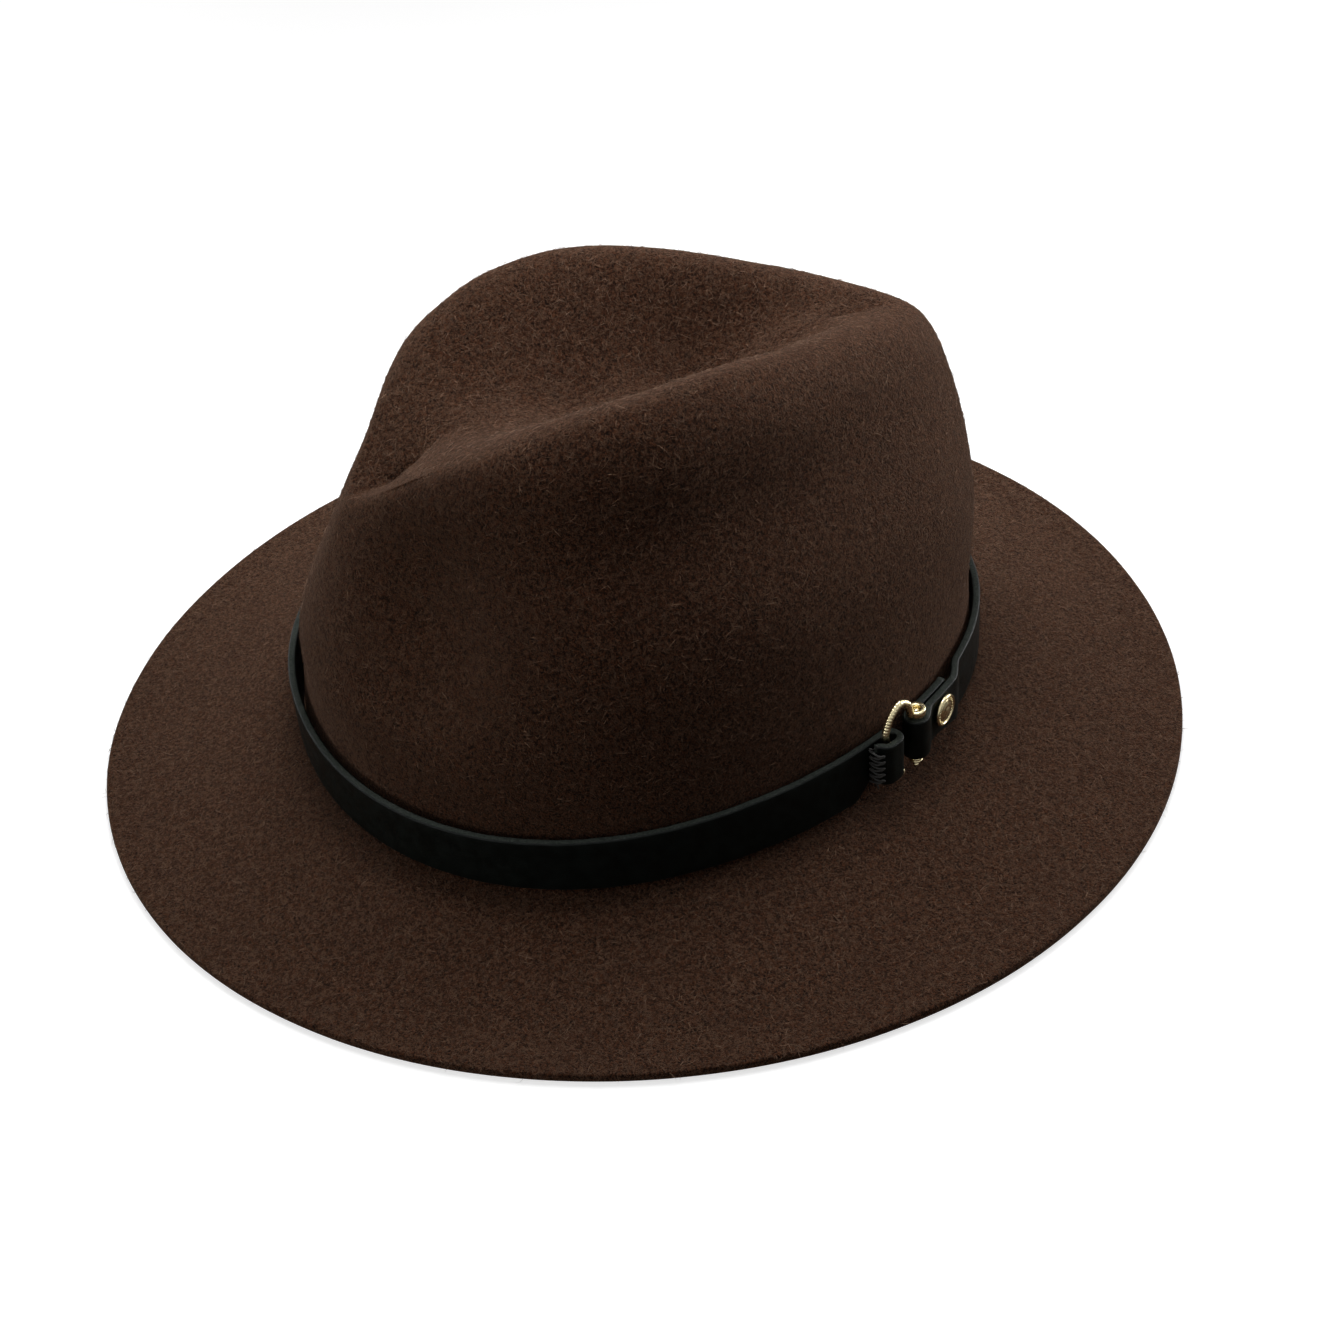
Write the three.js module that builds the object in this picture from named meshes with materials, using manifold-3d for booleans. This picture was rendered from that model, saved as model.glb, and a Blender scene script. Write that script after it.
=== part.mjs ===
// A soft felt fedora: one blocked felt hood with a teardrop crown and a raw-edged brim, a leather
// hatband closed by an open hoop buckle, and the sweatband and lining inside.
// Millimetres. The wearer looks along -Y, the wearer's left is +X, up is +Z, and the brim's
// edge rests on Z = 0 with the origin under the middle of the hat.
import * as THREE from "three";
import { mergeVertices } from "three/addons/utils/BufferGeometryUtils.js";
import Module from "manifold-3d";

const wasm = await Module();
wasm.setup();

// ---- driving dimensions ----
const FELT = 2.6; // felt thickness
const HEAD_LENGTH = 197.6; // inside the felt at the brim break, front to back
const HEAD_WIDTH = 175.6; // inside the felt at the brim break, side to side
const HEAD_POWER = 2.08; // 2 is an ellipse, more is squarer
const HEAD_EGG = 0.104; // how much wider the front half is than the back half
const HEAD_SHIFT = 1.7; // the head oval sits this far behind the brim's middle

const BRIM_LENGTH = 323.2;
const BRIM_WIDTH = 313.8;
const BRIM_EGG = -0.038; // the back half of the brim is the wider one
const BRIM_RISE = 6.9; // from the edge up to the crown
const BRIM_LAND = 0.16; // share of the brim's width that lies flat at the edge
const BREAK_RADIUS = 2.2; // fillet between brim and crown

const RIDGE_HEIGHT = 129; // highest point of the crown's ridge
const RIDGE_LENGTH = 160; // teardrop ridge, front to back
const RIDGE_WIDTH = 84.8; // teardrop ridge, side to side
const RIDGE_SHIFT = 4;
const RIDGE_EGG = 0.255; // the ridge is widest towards the front
const RIDGE_ENDS = 1.13; // how pointed the ridge's front and back ends are, 1 is an ellipse
const RIDGE_SIDES = 1.37; // and how much its long sides are drawn in
const RIDGE_DROP = 0.00417; // fall of the ridge away from its top, per mm squared
const RIDGE_TILT = 2e-5; // extra fall towards the front, per mm cubed
const CREASE_DEPTH = 26; // the valley's bottom under the ridge
const CREASE_REACH = 0.8; // length of the valley's bottom as a share of the ridge's
// Share of the valley's front and back halves over which its bottom climbs to the end.
const CREASE_RAMP = [0.9, 0.74];

const PINCH_DEPTH = 10.7; // finger dents on both sides of the front
const PINCH_HEIGHT = 74.4;
const PINCH_ANGLE = 36.2; // degrees round from the front
const PINCH_SPREAD = [26, 17]; // its half height in mm and half width in degrees
const FLANK_DEPTH = 6.4; // long hollow below the ridge on both sides
const FLANK_HEIGHT = 97.8;
const FLANK_ANGLE = 95;
const FLANK_SPREAD = [16, 45];
const BACK_FULLNESS = 3.4; // the back of the crown swells out above the strap
const FRONT_FULLNESS = 3; // and so does its front
// The wall's outline, with one value each for the sides, the front and the back.
const WALL_LEAN = [1.4, 0.6, 2.2]; // how far its lower half leans inwards
const WALL_UPRIGHT = [0.5, 0.27, 0.53]; // share of its height that stays nearly upright
const WALL_SHOULDER = [14.5, 6, 24.4]; // how far its shoulder stands out from the ridge

const GAP = 0.35; // room between pieces that lie against each other
const STRAP_THICKNESS = 2.3;
const STRAP_HEIGHT = 16.4; // over most of the way round
const STRAP_FLARE = 1.5; // how much taller it is beside the buckle
const STRAP_LIFT = 4.6; // how far the low edge is cut away where the ends fold round the buckle
const BUCKLE_ANGLE = 116.8; // degrees round from the front, wearer's left side

const BAR = 2.3; // thickness of the hoop's bar
const LEG_SWING = 0.8; // sideways lean of the hoop's leg in its loop, each way
const PIN_SPACING = 12.2; // from the hoop's leg to the pin
const PIN_RADIUS = 1.15;
const PIN_TAIL_RADIUS = 0.85;
const PIN_TAIL_LENGTH = 2.4;
const HOOP_RISE = 8.6; // from the loops' tops up to the middle of the hoop's arch
const HOOP_SHOULDER = 6.4; // height of the arch's two sides
const HOOP_TAIL = 5.6; // how far the hoop's free end reaches under the left loop
const COLLAR_RADIUS = 1.9;
const COLLAR_HEIGHT = 1.5;
const COLLAR_DROP = 1.5; // below the right loop's low edge
const STUD_SPACING = 11.6; // from the pin to the stud
const STUD_RADIUS = 4.8;
const STUD_DOME = 1.3;
const POST_RADIUS = 1.3;
const TURN_CLEARANCE = 0.35; // round what turns in leather or metal

const SWEATBAND_HEIGHT = 34;
const SWEATBAND_THICKNESS = 1;
const LINING_THICKNESS = 0.6;
const LINING_GAP = 0.9;
const LINING_TIP_DROP = 45; // from the crown's ridge down to the lining's flat top
const LINING_LAP = 12; // how far the lining reaches down behind the sweatband
const CORD_RADIUS = 0.8; // piping cord and sweatband reed
const THREAD_RADIUS = 0.35;
const STITCH_INSET = 3; // from the sweatband's low edge to its stitching
const JOIN_WIDTH = 7; // degrees of the ribbon over the sweatband's join
const JOIN_THICKNESS = 0.6;
const TAG_START = 188; // degrees round from the front
const TAG_WIDTH = 10; // degrees
const TAG_HEIGHT = 10;
const TAG_THICKNESS = 0.4;
const BOW_HALF_LENGTH = 8;
const BOW_FLARE = 4.2; // half the height of the bow's outer ends
const BOW_WAIST = 1.6; // half its height at the knot
const BOW_DEPTH = 1.1;
const BOW_UP = 12; // above the sweatband's low edge
const KNOT_SIZE = [2.6, 4.4, 1.4];

const COLUMNS = 60; // facets round the hat, shared by every ring
const LEVEL = 8.5; // height of one row of facets inside the crown

// ---- values that follow from them ----
const crownHalfLength = HEAD_LENGTH / 2 + FELT;
const crownHalfWidth = HEAD_WIDTH / 2 + FELT;
const brimTopAtBreak = FELT + BRIM_RISE;
const wallFoot = brimTopAtBreak + BREAK_RADIUS;
const strapLow = wallFoot + GAP / 2;
const strapCentre = GAP + STRAP_THICKNESS / 2; // outwards from the felt
const liningOffset = FELT + LINING_GAP;
const sweatbandOffset = liningOffset + LINING_THICKNESS + 1.6 * GAP;
const insideOffset = sweatbandOffset + SWEATBAND_THICKNESS + 1.6 * GAP;
const sweatbandLow = brimTopAtBreak;
const sweatbandTop = sweatbandLow + SWEATBAND_HEIGHT;
const liningTipHeight = RIDGE_HEIGHT - LINING_TIP_DROP;

const FELT_BROWN = material(0x3a2820, 0.95, 0);
const LEATHER = material(0x101816, 0.5, 0);
const LEATHER_BROWN = material(0x4a3426, 0.6, 0);
const SATIN = material(0x2b211c, 0.4, 0);
const RIBBON = material(0x17120f, 0.6, 0);
const THREAD = material(0x1d1a17, 0.8, 0);
const PAPER = material(0xd8cfbd, 0.8, 0);
const REED = material(0xcfc9b8, 0.4, 0);
const GOLD = material(0xc9a66b, 0.28, 1);

function material(color, roughness, metalness) {
  return new THREE.MeshStandardMaterial({ color, roughness, metalness });
}

// ---- small helpers ----
const radians = THREE.MathUtils.degToRad;
const vec = (x, y, z) => new THREE.Vector3(x, y, z);
const signedPower = (value, power) => Math.sign(value) * Math.abs(value) ** power;
const bell = (value, middle, width) => Math.exp(-(((value - middle) / width) ** 2));
const smooth = (value) => THREE.MathUtils.smoothstep(value, 0, 1);

// Angle round the hat in radians: 0 at the front, a quarter turn at the wearer's left.
const angleOf = (x, y) => Math.atan2(x, -y);
const degreesFromFront = (angle) => {
  const turn = THREE.MathUtils.euclideanModulo(THREE.MathUtils.radToDeg(angle), 360);
  return turn > 180 ? 360 - turn : turn;
};

// A squared-off, egg-shaped oval in plan.
function oval(angle, halfLength, halfWidth, shift, power, egg) {
  const c = Math.cos(angle);
  const s = Math.sin(angle);
  return [
    halfWidth * signedPower(s, 2 / power) * (1 + egg * c),
    shift - halfLength * signedPower(c, 2 / power),
  ];
}

const crownOval = (angle, grow = 0) =>
  oval(angle, crownHalfLength + grow, crownHalfWidth + grow, HEAD_SHIFT, HEAD_POWER, HEAD_EGG);

const bezier = (a, b, c, d, v) =>
  new THREE.CubicBezierCurve3(a, b, c, d).getPoint(v);

// ---- the felt's outer surface ----
// A value for the sides, the front and the back, blended smoothly round the hat.
function around(angle, side, front, back) {
  const c = Math.cos(angle);
  return side * (1 - c * c) + (c > 0 ? front : back) * c * c;
}

// The closed teardrop ridge that the crown's walls rise to.
function ridge(angle) {
  const c = Math.cos(angle);
  const s = Math.sin(angle);
  const x = (RIDGE_WIDTH / 2) * signedPower(s, RIDGE_SIDES) * (1 + RIDGE_EGG * c);
  const y = RIDGE_SHIFT - (RIDGE_LENGTH / 2) * signedPower(c, RIDGE_ENDS);
  return vec(x, y, RIDGE_HEIGHT - RIDGE_DROP * y * y + RIDGE_TILT * y ** 3);
}

// Outward direction in plan.
function outward(angle) {
  const [x, y] = crownOval(angle);
  return vec(x / crownHalfWidth, (y - HEAD_SHIFT) / crownHalfLength, 0).normalize();
}

// How far hand-made dents push the wall inwards.
function dent(angle, z) {
  const turn = degreesFromFront(angle);
  return (
    FLANK_DEPTH * bell(z, FLANK_HEIGHT, FLANK_SPREAD[0]) * bell(turn, FLANK_ANGLE, FLANK_SPREAD[1]) +
    PINCH_DEPTH * bell(z, PINCH_HEIGHT, PINCH_SPREAD[0]) * bell(turn, PINCH_ANGLE, PINCH_SPREAD[1])
  );
}

// How far the crown swells outwards above the strap, at its back and its front.
function fullness(angle, z) {
  const c = Math.cos(angle);
  const above = z - strapLow - STRAP_HEIGHT;
  const rise = smooth((above - 3) / 28) * (1 - smooth((above - 31) / 50));
  const frontRise = smooth(above / 20) * (1 - smooth((above - 22) / 45));
  return BACK_FULLNESS * rise * Math.max(0, -c) ** 2 + FRONT_FULLNESS * frontRise * Math.max(0, c) ** 2;
}

// The wall, from its foot at v = 0 to the ridge at v = 1.
function wall(angle, v) {
  const out = outward(angle);
  const top = ridge(angle);
  const foot = vec(...crownOval(angle), wallFoot);
  const lean = around(angle, ...WALL_LEAN);
  const rise = around(angle, ...WALL_UPRIGHT) * (top.z - wallFoot);
  const shoulder = around(angle, ...WALL_SHOULDER);
  const low = foot.clone().addScaledVector(out, -lean).setZ(wallFoot + rise);
  const high = top.clone().addScaledVector(out, shoulder);
  const point = bezier(foot, low, high, top, v);
  return point.addScaledVector(out, fullness(angle, point.z) - dent(angle, point.z));
}

// The roof, from the ridge at v = 0 down to the valley's bottom on X = 0 at v = 1.
function roof(angle, v) {
  const edge = ridge(angle);
  const end = Math.abs(Math.cos(angle)) ** RIDGE_ENDS; // 0 in the middle of the valley and 1 at its ends
  const ramp = CREASE_RAMP[Math.cos(angle) > 0 ? 0 : 1];
  const depth = CREASE_DEPTH * smooth((1 - end) / ramp);
  const bottom = vec(0, edge.y * CREASE_REACH, edge.z - depth);
  const near = edge.clone().lerp(bottom, 0.3).setZ(edge.z);
  const low = bottom.clone().lerp(edge, 0.45).setZ(bottom.z);
  return bezier(edge, near, low, bottom, v);
}

// The brim's top, from its edge at u = 0 to the fillet at u = 1.
function brim(angle, u) {
  const edge = oval(angle, BRIM_LENGTH / 2, BRIM_WIDTH / 2, 0, 2, BRIM_EGG);
  const foot = crownOval(angle, BREAK_RADIUS);
  const climb = Math.max(0, (u - BRIM_LAND) / (1 - BRIM_LAND)) ** 1.5;
  return vec(
    THREE.MathUtils.lerp(edge[0], foot[0], u),
    THREE.MathUtils.lerp(edge[1], foot[1], u),
    FELT + BRIM_RISE * climb,
  );
}

// The fillet between brim and wall.
function fillet(angle, u) {
  const turn = (u * Math.PI) / 2;
  const [x, y] = crownOval(angle, BREAK_RADIUS * (1 - Math.sin(turn)));
  return vec(x, y, wallFoot - BREAK_RADIUS * Math.cos(turn));
}

// Rows of the felt surface from the brim's edge to the valley's bottom.
function feltRows() {
  const rows = [];
  for (const u of [0, BRIM_LAND, 0.4, 0.65, 0.86, 1]) rows.push((a) => brim(a, u));
  rows.push((a) => fillet(a, 0.5));
  for (let i = 0; i <= 11; i++) rows.push((a) => wall(a, i / 11));
  for (const v of [0.2, 0.4, 0.6, 0.8, 1]) rows.push((a) => roof(a, v));
  return rows;
}

// ---- meshes from grids ----
const columnAngle = (i) => (i / COLUMNS) * 2 * Math.PI;

// A closed solid from rings of points: each ring joins the next, and the last joins the first.
function ringSolid(rings) {
  const columns = rings[0].length;
  const positions = rings.flat().flatMap((p) => [p.x, p.y, p.z]);
  const index = [];
  for (let j = 0; j < rings.length; j++)
    for (let i = 0; i < columns; i++) {
      const a = j * columns + i;
      const b = j * columns + ((i + 1) % columns);
      const c = ((j + 1) % rings.length) * columns + ((i + 1) % columns);
      const d = ((j + 1) % rings.length) * columns + i;
      index.push(a, b, c, a, c, d);
    }
  return indexed(positions, index);
}

function indexed(positions, index) {
  const geometry = new THREE.BufferGeometry();
  geometry.setAttribute("position", new THREE.Float32BufferAttribute(positions, 3));
  geometry.setIndex(index);
  return geometry;
}

// Normals of a grid of rows that closes round the hat and is zipped along X = 0 at its last row.
function gridNormals(grid) {
  const last = grid.length - 1;
  return grid.map((row, j) =>
    row.map((_, i) => {
      const n = row.length;
      const along = row[(i + 1) % n].clone().sub(row[(i + n - 1) % n]);
      const before = grid[Math.max(0, j - 1)][i];
      const after = j === last ? grid[last - 1][(n - i) % n] : grid[j + 1][i];
      return along.cross(after.clone().sub(before)).normalize();
    }),
  );
}

// ---- the felt hood ----
function feltHood() {
  const outer = feltRows().map((row) =>
    Array.from({ length: COLUMNS }, (_, i) => row(columnAngle(i))),
  );
  const normals = gridNormals(outer);
  const brimRows = 6;
  const inner = outer.map((row, j) =>
    row.map((point, i) =>
      j < brimRows
        ? point.clone().setZ(point.z - FELT)
        : point.clone().addScaledVector(normals[j][i], -FELT),
    ),
  );
  const n = COLUMNS;
  const positions = [...outer, ...inner].flat().flatMap((p) => [p.x, p.y, p.z]);
  const index = [];
  const quad = (a, b, c, d) => index.push(a, b, c, a, c, d);
  const start = outer.length * n;
  for (let i = 0; i < n; i++) {
    const k = (i + 1) % n;
    for (let j = 0; j + 1 < outer.length; j++) {
      const low = j * n;
      const high = low + n;
      quad(low + i, low + k, high + k, high + i);
      quad(start + low + k, start + low + i, start + high + i, start + high + k);
    }
    quad(k, i, start + i, start + k);
  }
  return indexed(positions, index);
}

// ---- pieces that follow the wall ----
// The wall's point at a height, moved outwards (or inwards, when negative) along the normal.
// Below its foot the wall goes straight down.
function wallAt(angle, z, offset) {
  if (z < wallFoot) return wallAt(angle, wallFoot, offset).setZ(z);
  let low = 0;
  let high = 1;
  for (let i = 0; i < 30; i++) {
    const middle = (low + high) / 2;
    if (wall(angle, middle).z < z) low = middle;
    else high = middle;
  }
  const step = 0.01;
  const point = wall(angle, low);
  const along = wall(angle + step, low).sub(wall(angle - step, low));
  const up = wall(angle, low + step).sub(wall(angle, Math.max(0, low - step)));
  return point.addScaledVector(along.cross(up).normalize(), offset);
}

// Heights of a sheet's rows: its two edges, and the shared levels between them.
function rowHeights(low, top) {
  const heights = [low];
  const first = Math.floor((low - sweatbandLow) / LEVEL) + 1;
  for (let k = first; sweatbandLow + k * LEVEL < top - 1; k++)
    if (sweatbandLow + k * LEVEL > low + 1) heights.push(sweatbandLow + k * LEVEL);
  return [...heights, top];
}

const ringAt = (z, offset) =>
  Array.from({ length: COLUMNS }, (_, i) => wallAt(columnAngle(i), z, offset));

// A ring of sheet inside the crown, between two heights.
function sheetRing(low, top, offset, thickness) {
  const heights = rowHeights(low, top);
  const outside = heights.map((z) => ringAt(z, -offset));
  const inside = heights.map((z) => ringAt(z, -offset - thickness)).reverse();
  return ringSolid([...outside, ...inside]);
}

// A cord of round section that follows the wall at one height.
function cordRing(z, offset, radius, sides = 5) {
  const rings = [];
  for (let k = 0; k < sides; k++) {
    const turn = (-2 * Math.PI * k) / sides;
    rings.push(ringAt(z + radius * Math.sin(turn), -offset - radius + radius * Math.cos(turn)));
  }
  return ringSolid(rings.reverse());
}

// A patch of sheet inside the crown between two angles (degrees) and two heights.
function sheetPatch(from, to, low, top, offset, thickness, columns) {
  const heights = rowHeights(low, top);
  const profile = [
    ...heights.map((z) => [z, offset]),
    ...heights.reverse().map((z) => [z, offset + thickness]),
  ];
  const sections = Array.from({ length: columns + 1 }, (_, i) => {
    const angle = radians(from + ((to - from) * i) / columns);
    return profile.map(([z, inset]) => wallAt(angle, z, -inset));
  });
  return sweptSolid(sections);
}

// A closed solid from a list of cross sections that share their number of corners.
function sweptSolid(sections) {
  const n = sections[0].length;
  const positions = sections.flat().flatMap((p) => [p.x, p.y, p.z]);
  const index = [];
  for (let i = 0; i + 1 < sections.length; i++)
    for (let k = 0; k < n; k++) {
      const a = i * n + k;
      const b = i * n + ((k + 1) % n);
      index.push(a, a + n, b + n, a, b + n, b);
    }
  const end = (sections.length - 1) * n;
  for (let k = 0; k + 1 < n / 2; k++) {
    const [a, b, c, d] = [k, k + 1, n - 2 - k, n - 1 - k];
    index.push(a, b, c, a, c, d, end + b, end + a, end + d, end + b, end + d, end + c);
  }
  return indexed(positions, index);
}

const sweatband = () =>
  sheetRing(sweatbandLow, sweatbandTop, sweatbandOffset, SWEATBAND_THICKNESS);

const liningSide = () =>
  sheetRing(
    sweatbandTop - LINING_LAP,
    liningTipHeight,
    liningOffset,
    LINING_THICKNESS,
  );

// The point inside the wall that has both this height and this distance from the wall.
function insetAt(angle, z, inset) {
  const drop = z - wallAt(angle, z, -inset).z;
  return wallAt(angle, z + drop, -inset);
}

// The lining's flat top: a disc inside the top of the side piece.
function liningTip() {
  const inset = liningOffset + LINING_THICKNESS + GAP;
  const rim = Array.from({ length: COLUMNS }, (_, i) => insetAt(columnAngle(i), liningTipHeight, inset));
  const centre = vec(0, HEAD_SHIFT, liningTipHeight);
  const rings = [1, 0.66, 0.33].map((share) =>
    rim.map((p) => centre.clone().lerp(p, share).setZ(liningTipHeight)),
  );
  const below = rings.map((ring) =>
    ring.map((p) => p.clone().setZ(liningTipHeight - LINING_THICKNESS)),
  );
  const n = COLUMNS;
  const positions = [...rings, ...below].flat().flatMap((p) => [p.x, p.y, p.z]);
  positions.push(centre.x, centre.y, liningTipHeight);
  positions.push(centre.x, centre.y, liningTipHeight - LINING_THICKNESS);
  const top = 2 * rings.length * n;
  const start = rings.length * n;
  const index = [];
  const quad = (a, b, c, d) => index.push(a, b, c, a, c, d);
  for (let i = 0; i < n; i++) {
    const k = (i + 1) % n;
    for (let j = 0; j + 1 < rings.length; j++) {
      quad(j * n + i, j * n + k, (j + 1) * n + k, (j + 1) * n + i);
      quad(
        start + j * n + k,
        start + j * n + i,
        start + (j + 1) * n + i,
        start + (j + 1) * n + k,
      );
    }
    const last = (rings.length - 1) * n;
    index.push(last + i, last + k, top, start + last + k, start + last + i, top + 1);
    quad(k, i, start + i, start + k);
  }
  return indexed(positions, index);
}

// The piping cord hangs just under the seam between the lining's side and its top.
const liningPiping = () =>
  cordRing(
    liningTipHeight - LINING_THICKNESS - GAP - CORD_RADIUS,
    liningOffset + LINING_THICKNESS + GAP,
    CORD_RADIUS,
  );

const sweatbandReed = () =>
  cordRing(
    sweatbandLow - GAP - CORD_RADIUS,
    sweatbandOffset + (SWEATBAND_THICKNESS - 2 * CORD_RADIUS) / 2,
    CORD_RADIUS,
  );

const sweatbandStitching = () =>
  cordRing(sweatbandLow + STITCH_INSET, insideOffset, THREAD_RADIUS, 4);

const sweatbandJoin = () =>
  sheetPatch(
    180 - JOIN_WIDTH / 2,
    180 + JOIN_WIDTH / 2,
    sweatbandLow + STITCH_INSET + 2,
    sweatbandTop - 1,
    insideOffset,
    JOIN_THICKNESS,
    3,
  );

const sizeTag = () =>
  sheetPatch(
    TAG_START,
    TAG_START + TAG_WIDTH,
    sweatbandTop - 4 - TAG_HEIGHT,
    sweatbandTop - 4,
    insideOffset,
    TAG_THICKNESS,
    3,
  );

// ---- the bow at the back of the sweatband ----
const bowInset = insideOffset + JOIN_THICKNESS + GAP;

function bowGroup() {
  const half = BOW_HALF_LENGTH;
  const end = half + 2; // the outer ends are rounded
  const bend = BOW_WAIST + 0.5;
  const shape = new THREE.Shape();
  shape.moveTo(-half, -BOW_FLARE);
  shape.quadraticCurveTo(-end, 0, -half, BOW_FLARE);
  shape.quadraticCurveTo(-2, bend, 0, BOW_WAIST);
  shape.quadraticCurveTo(2, bend, half, BOW_FLARE);
  shape.quadraticCurveTo(end, 0, half, -BOW_FLARE);
  shape.quadraticCurveTo(2, -bend, 0, -BOW_WAIST);
  shape.quadraticCurveTo(-2, -bend, -half, -BOW_FLARE);
  const loops = new THREE.ExtrudeGeometry(shape, {
    depth: BOW_DEPTH,
    bevelEnabled: false,
    curveSegments: 4,
  });
  const group = new THREE.Group();
  group.add(named("bow_loops", loops, RIBBON));
  const knot = new THREE.BoxGeometry(...KNOT_SIZE);
  knot.translate(0, 0, BOW_DEPTH + GAP + KNOT_SIZE[2] / 2);
  group.add(named("bow_knot", knot, RIBBON));
  // The bow's own Z points forwards, away from the sweatband.
  group.rotation.set(Math.PI / 2, 0, 0);
  group.position.copy(wallAt(Math.PI, sweatbandLow + BOW_UP, -bowInset)).y -= GAP;
  return group;
}

// ---- the leather strap ----
// The strap's middle line in plan, by length along the hat from the buckle's leg.
const strapOval = new THREE.CatmullRomCurve3(
  Array.from({ length: 180 }, (_, i) => {
    const [x, y] = crownOval((i / 180) * 2 * Math.PI, strapCentre);
    return vec(x, y, 0);
  }),
  true,
);
strapOval.arcLengthDivisions = 2000;
const strapLength = strapOval.getLength();

const buckleStart = (() => {
  for (let i = 0; i < 2000; i++) {
    const p = strapOval.getPointAt(i / 2000);
    if (angleOf(p.x, p.y) >= radians(BUCKLE_ANGLE)) return (i / 2000) * strapLength;
  }
  return 0;
})();

const strapShare = (along) =>
  THREE.MathUtils.euclideanModulo((buckleStart + along) / strapLength, 1);

// Position, and outward direction, at a length along the strap from the buckle's leg.
const strapPoint = (along) => strapOval.getPointAt(strapShare(along));
function strapNormal(along) {
  const tangent = strapOval.getTangentAt(strapShare(along));
  return vec(tangent.y, -tangent.x, 0).normalize();
}
const strapPlace = (along, out, up = 0) =>
  strapPoint(along).addScaledVector(strapNormal(along), out).setZ(strapLow + up);

// Heights of the strap's two edges above its lowest line.
function strapBottom(turn) {
  const past = turn - BUCKLE_ANGLE;
  return STRAP_LIFT * smooth((past + 7) / 4) * (1 - smooth((past - 12) / 14));
}
const strapTop = (turn) => STRAP_HEIGHT + STRAP_FLARE * bell(turn, BUCKLE_ANGLE - 3, 38);

const legBore = BAR / 2 + TURN_CLEARANCE; // half the room round the hoop's leg
const legTurn = legBore + STRAP_THICKNESS / 2; // middle-line radius of the left loop
const pinBore = PIN_RADIUS + TURN_CLEARANCE;
const pinTurn = pinBore + STRAP_THICKNESS / 2; // middle-line radius of the right loop
const lap = STRAP_THICKNESS + GAP; // one layer lying on another
const STUD_PLACE = PIN_SPACING + STUD_SPACING;
const INNER_END = STUD_PLACE + 6.5; // where the right end's inner layer stops
const LOOP_END = LEG_SWING + legBore + 2.7; // where the left end's folded layer stops
const RAMP = 10; // length over which the outer layer comes down to the felt

// Outward shift of the strap's outer layer to the right of the pin.
function outerLayer(along) {
  const overInner = lap * (1 - smooth((along - INNER_END - 1) / RAMP));
  const overPin = (2 * pinTurn - lap) * (1 - smooth((along - PIN_SPACING) / (STUD_SPACING - STUD_RADIUS)));
  return overInner + overPin;
}

// Plan positions of the strap's middle line as pairs of length and outward shift.
function strapRoute() {
  const route = [
    [-LOOP_END, lap],
    [-LOOP_END + 1, lap + 0.55],
    [-LOOP_END + 2.1, 2 * legTurn - 0.5],
    [-LOOP_END + 3, 2 * legTurn],
  ];
  for (let i = 0; i <= 8; i++) {
    const turn = Math.PI / 2 - (Math.PI * i) / 8;
    route.push([LEG_SWING + legTurn * Math.cos(turn), legTurn + legTurn * Math.sin(turn)]);
  }
  const free = strapLength - INNER_END - 1 - RAMP;
  const steps = COLUMNS;
  for (let i = 1; i < steps; i++) route.push([LEG_SWING - (free * i) / steps - 1, 0]);
  const far = INNER_END + 1 + RAMP;
  for (let i = 0; i < 14; i++) {
    const along = far - ((far - PIN_SPACING) * i) / 14;
    route.push([along, outerLayer(along)]);
  }
  for (let i = 0; i <= 8; i++) {
    const turn = Math.PI / 2 + (Math.PI * i) / 8;
    route.push([PIN_SPACING + pinTurn * Math.cos(turn), pinTurn + pinTurn * Math.sin(turn)]);
  }
  for (const share of [0.3, 0.65, 1])
    route.push([THREE.MathUtils.lerp(PIN_SPACING, INNER_END, share), 0]);
  return route.map(([along, out]) => strapPlace(along, out).setZ(0));
}

// The strap is its plan outline stood up, with its edges shaped afterwards.
function strap() {
  const line = strapRoute();
  const sides = [[], []];
  line.forEach((p, i) => {
    const before = line[Math.max(0, i - 1)];
    const after = line[Math.min(line.length - 1, i + 1)];
    const across = after.clone().sub(before).normalize();
    for (const [k, sign] of [[0, 1], [1, -1]])
      sides[k].push(
        new THREE.Vector2(
          p.x + (sign * across.y * STRAP_THICKNESS) / 2,
          p.y - (sign * across.x * STRAP_THICKNESS) / 2,
        ),
      );
  });
  const outline = [...sides[0], ...sides[1].reverse()];
  const geometry = new THREE.ExtrudeGeometry(new THREE.Shape(outline), {
    depth: 1,
    bevelEnabled: false,
  });
  const position = geometry.getAttribute("position");
  for (let i = 0; i < position.count; i++) {
    const angle = angleOf(position.getX(i), position.getY(i));
    const turn = THREE.MathUtils.euclideanModulo(THREE.MathUtils.radToDeg(angle), 360);
    const height = position.getZ(i) > 0.5 ? strapTop(turn) : strapBottom(turn);
    position.setZ(i, strapLow + height);
  }
  return geometry;
}

// ---- the buckle ----
// Heights of the two loops' ends above the strap's lowest line.
const loopBottom = strapBottom(BUCKLE_ANGLE + 4);
const loopTop = strapTop(BUCKLE_ANGLE + 4);

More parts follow.
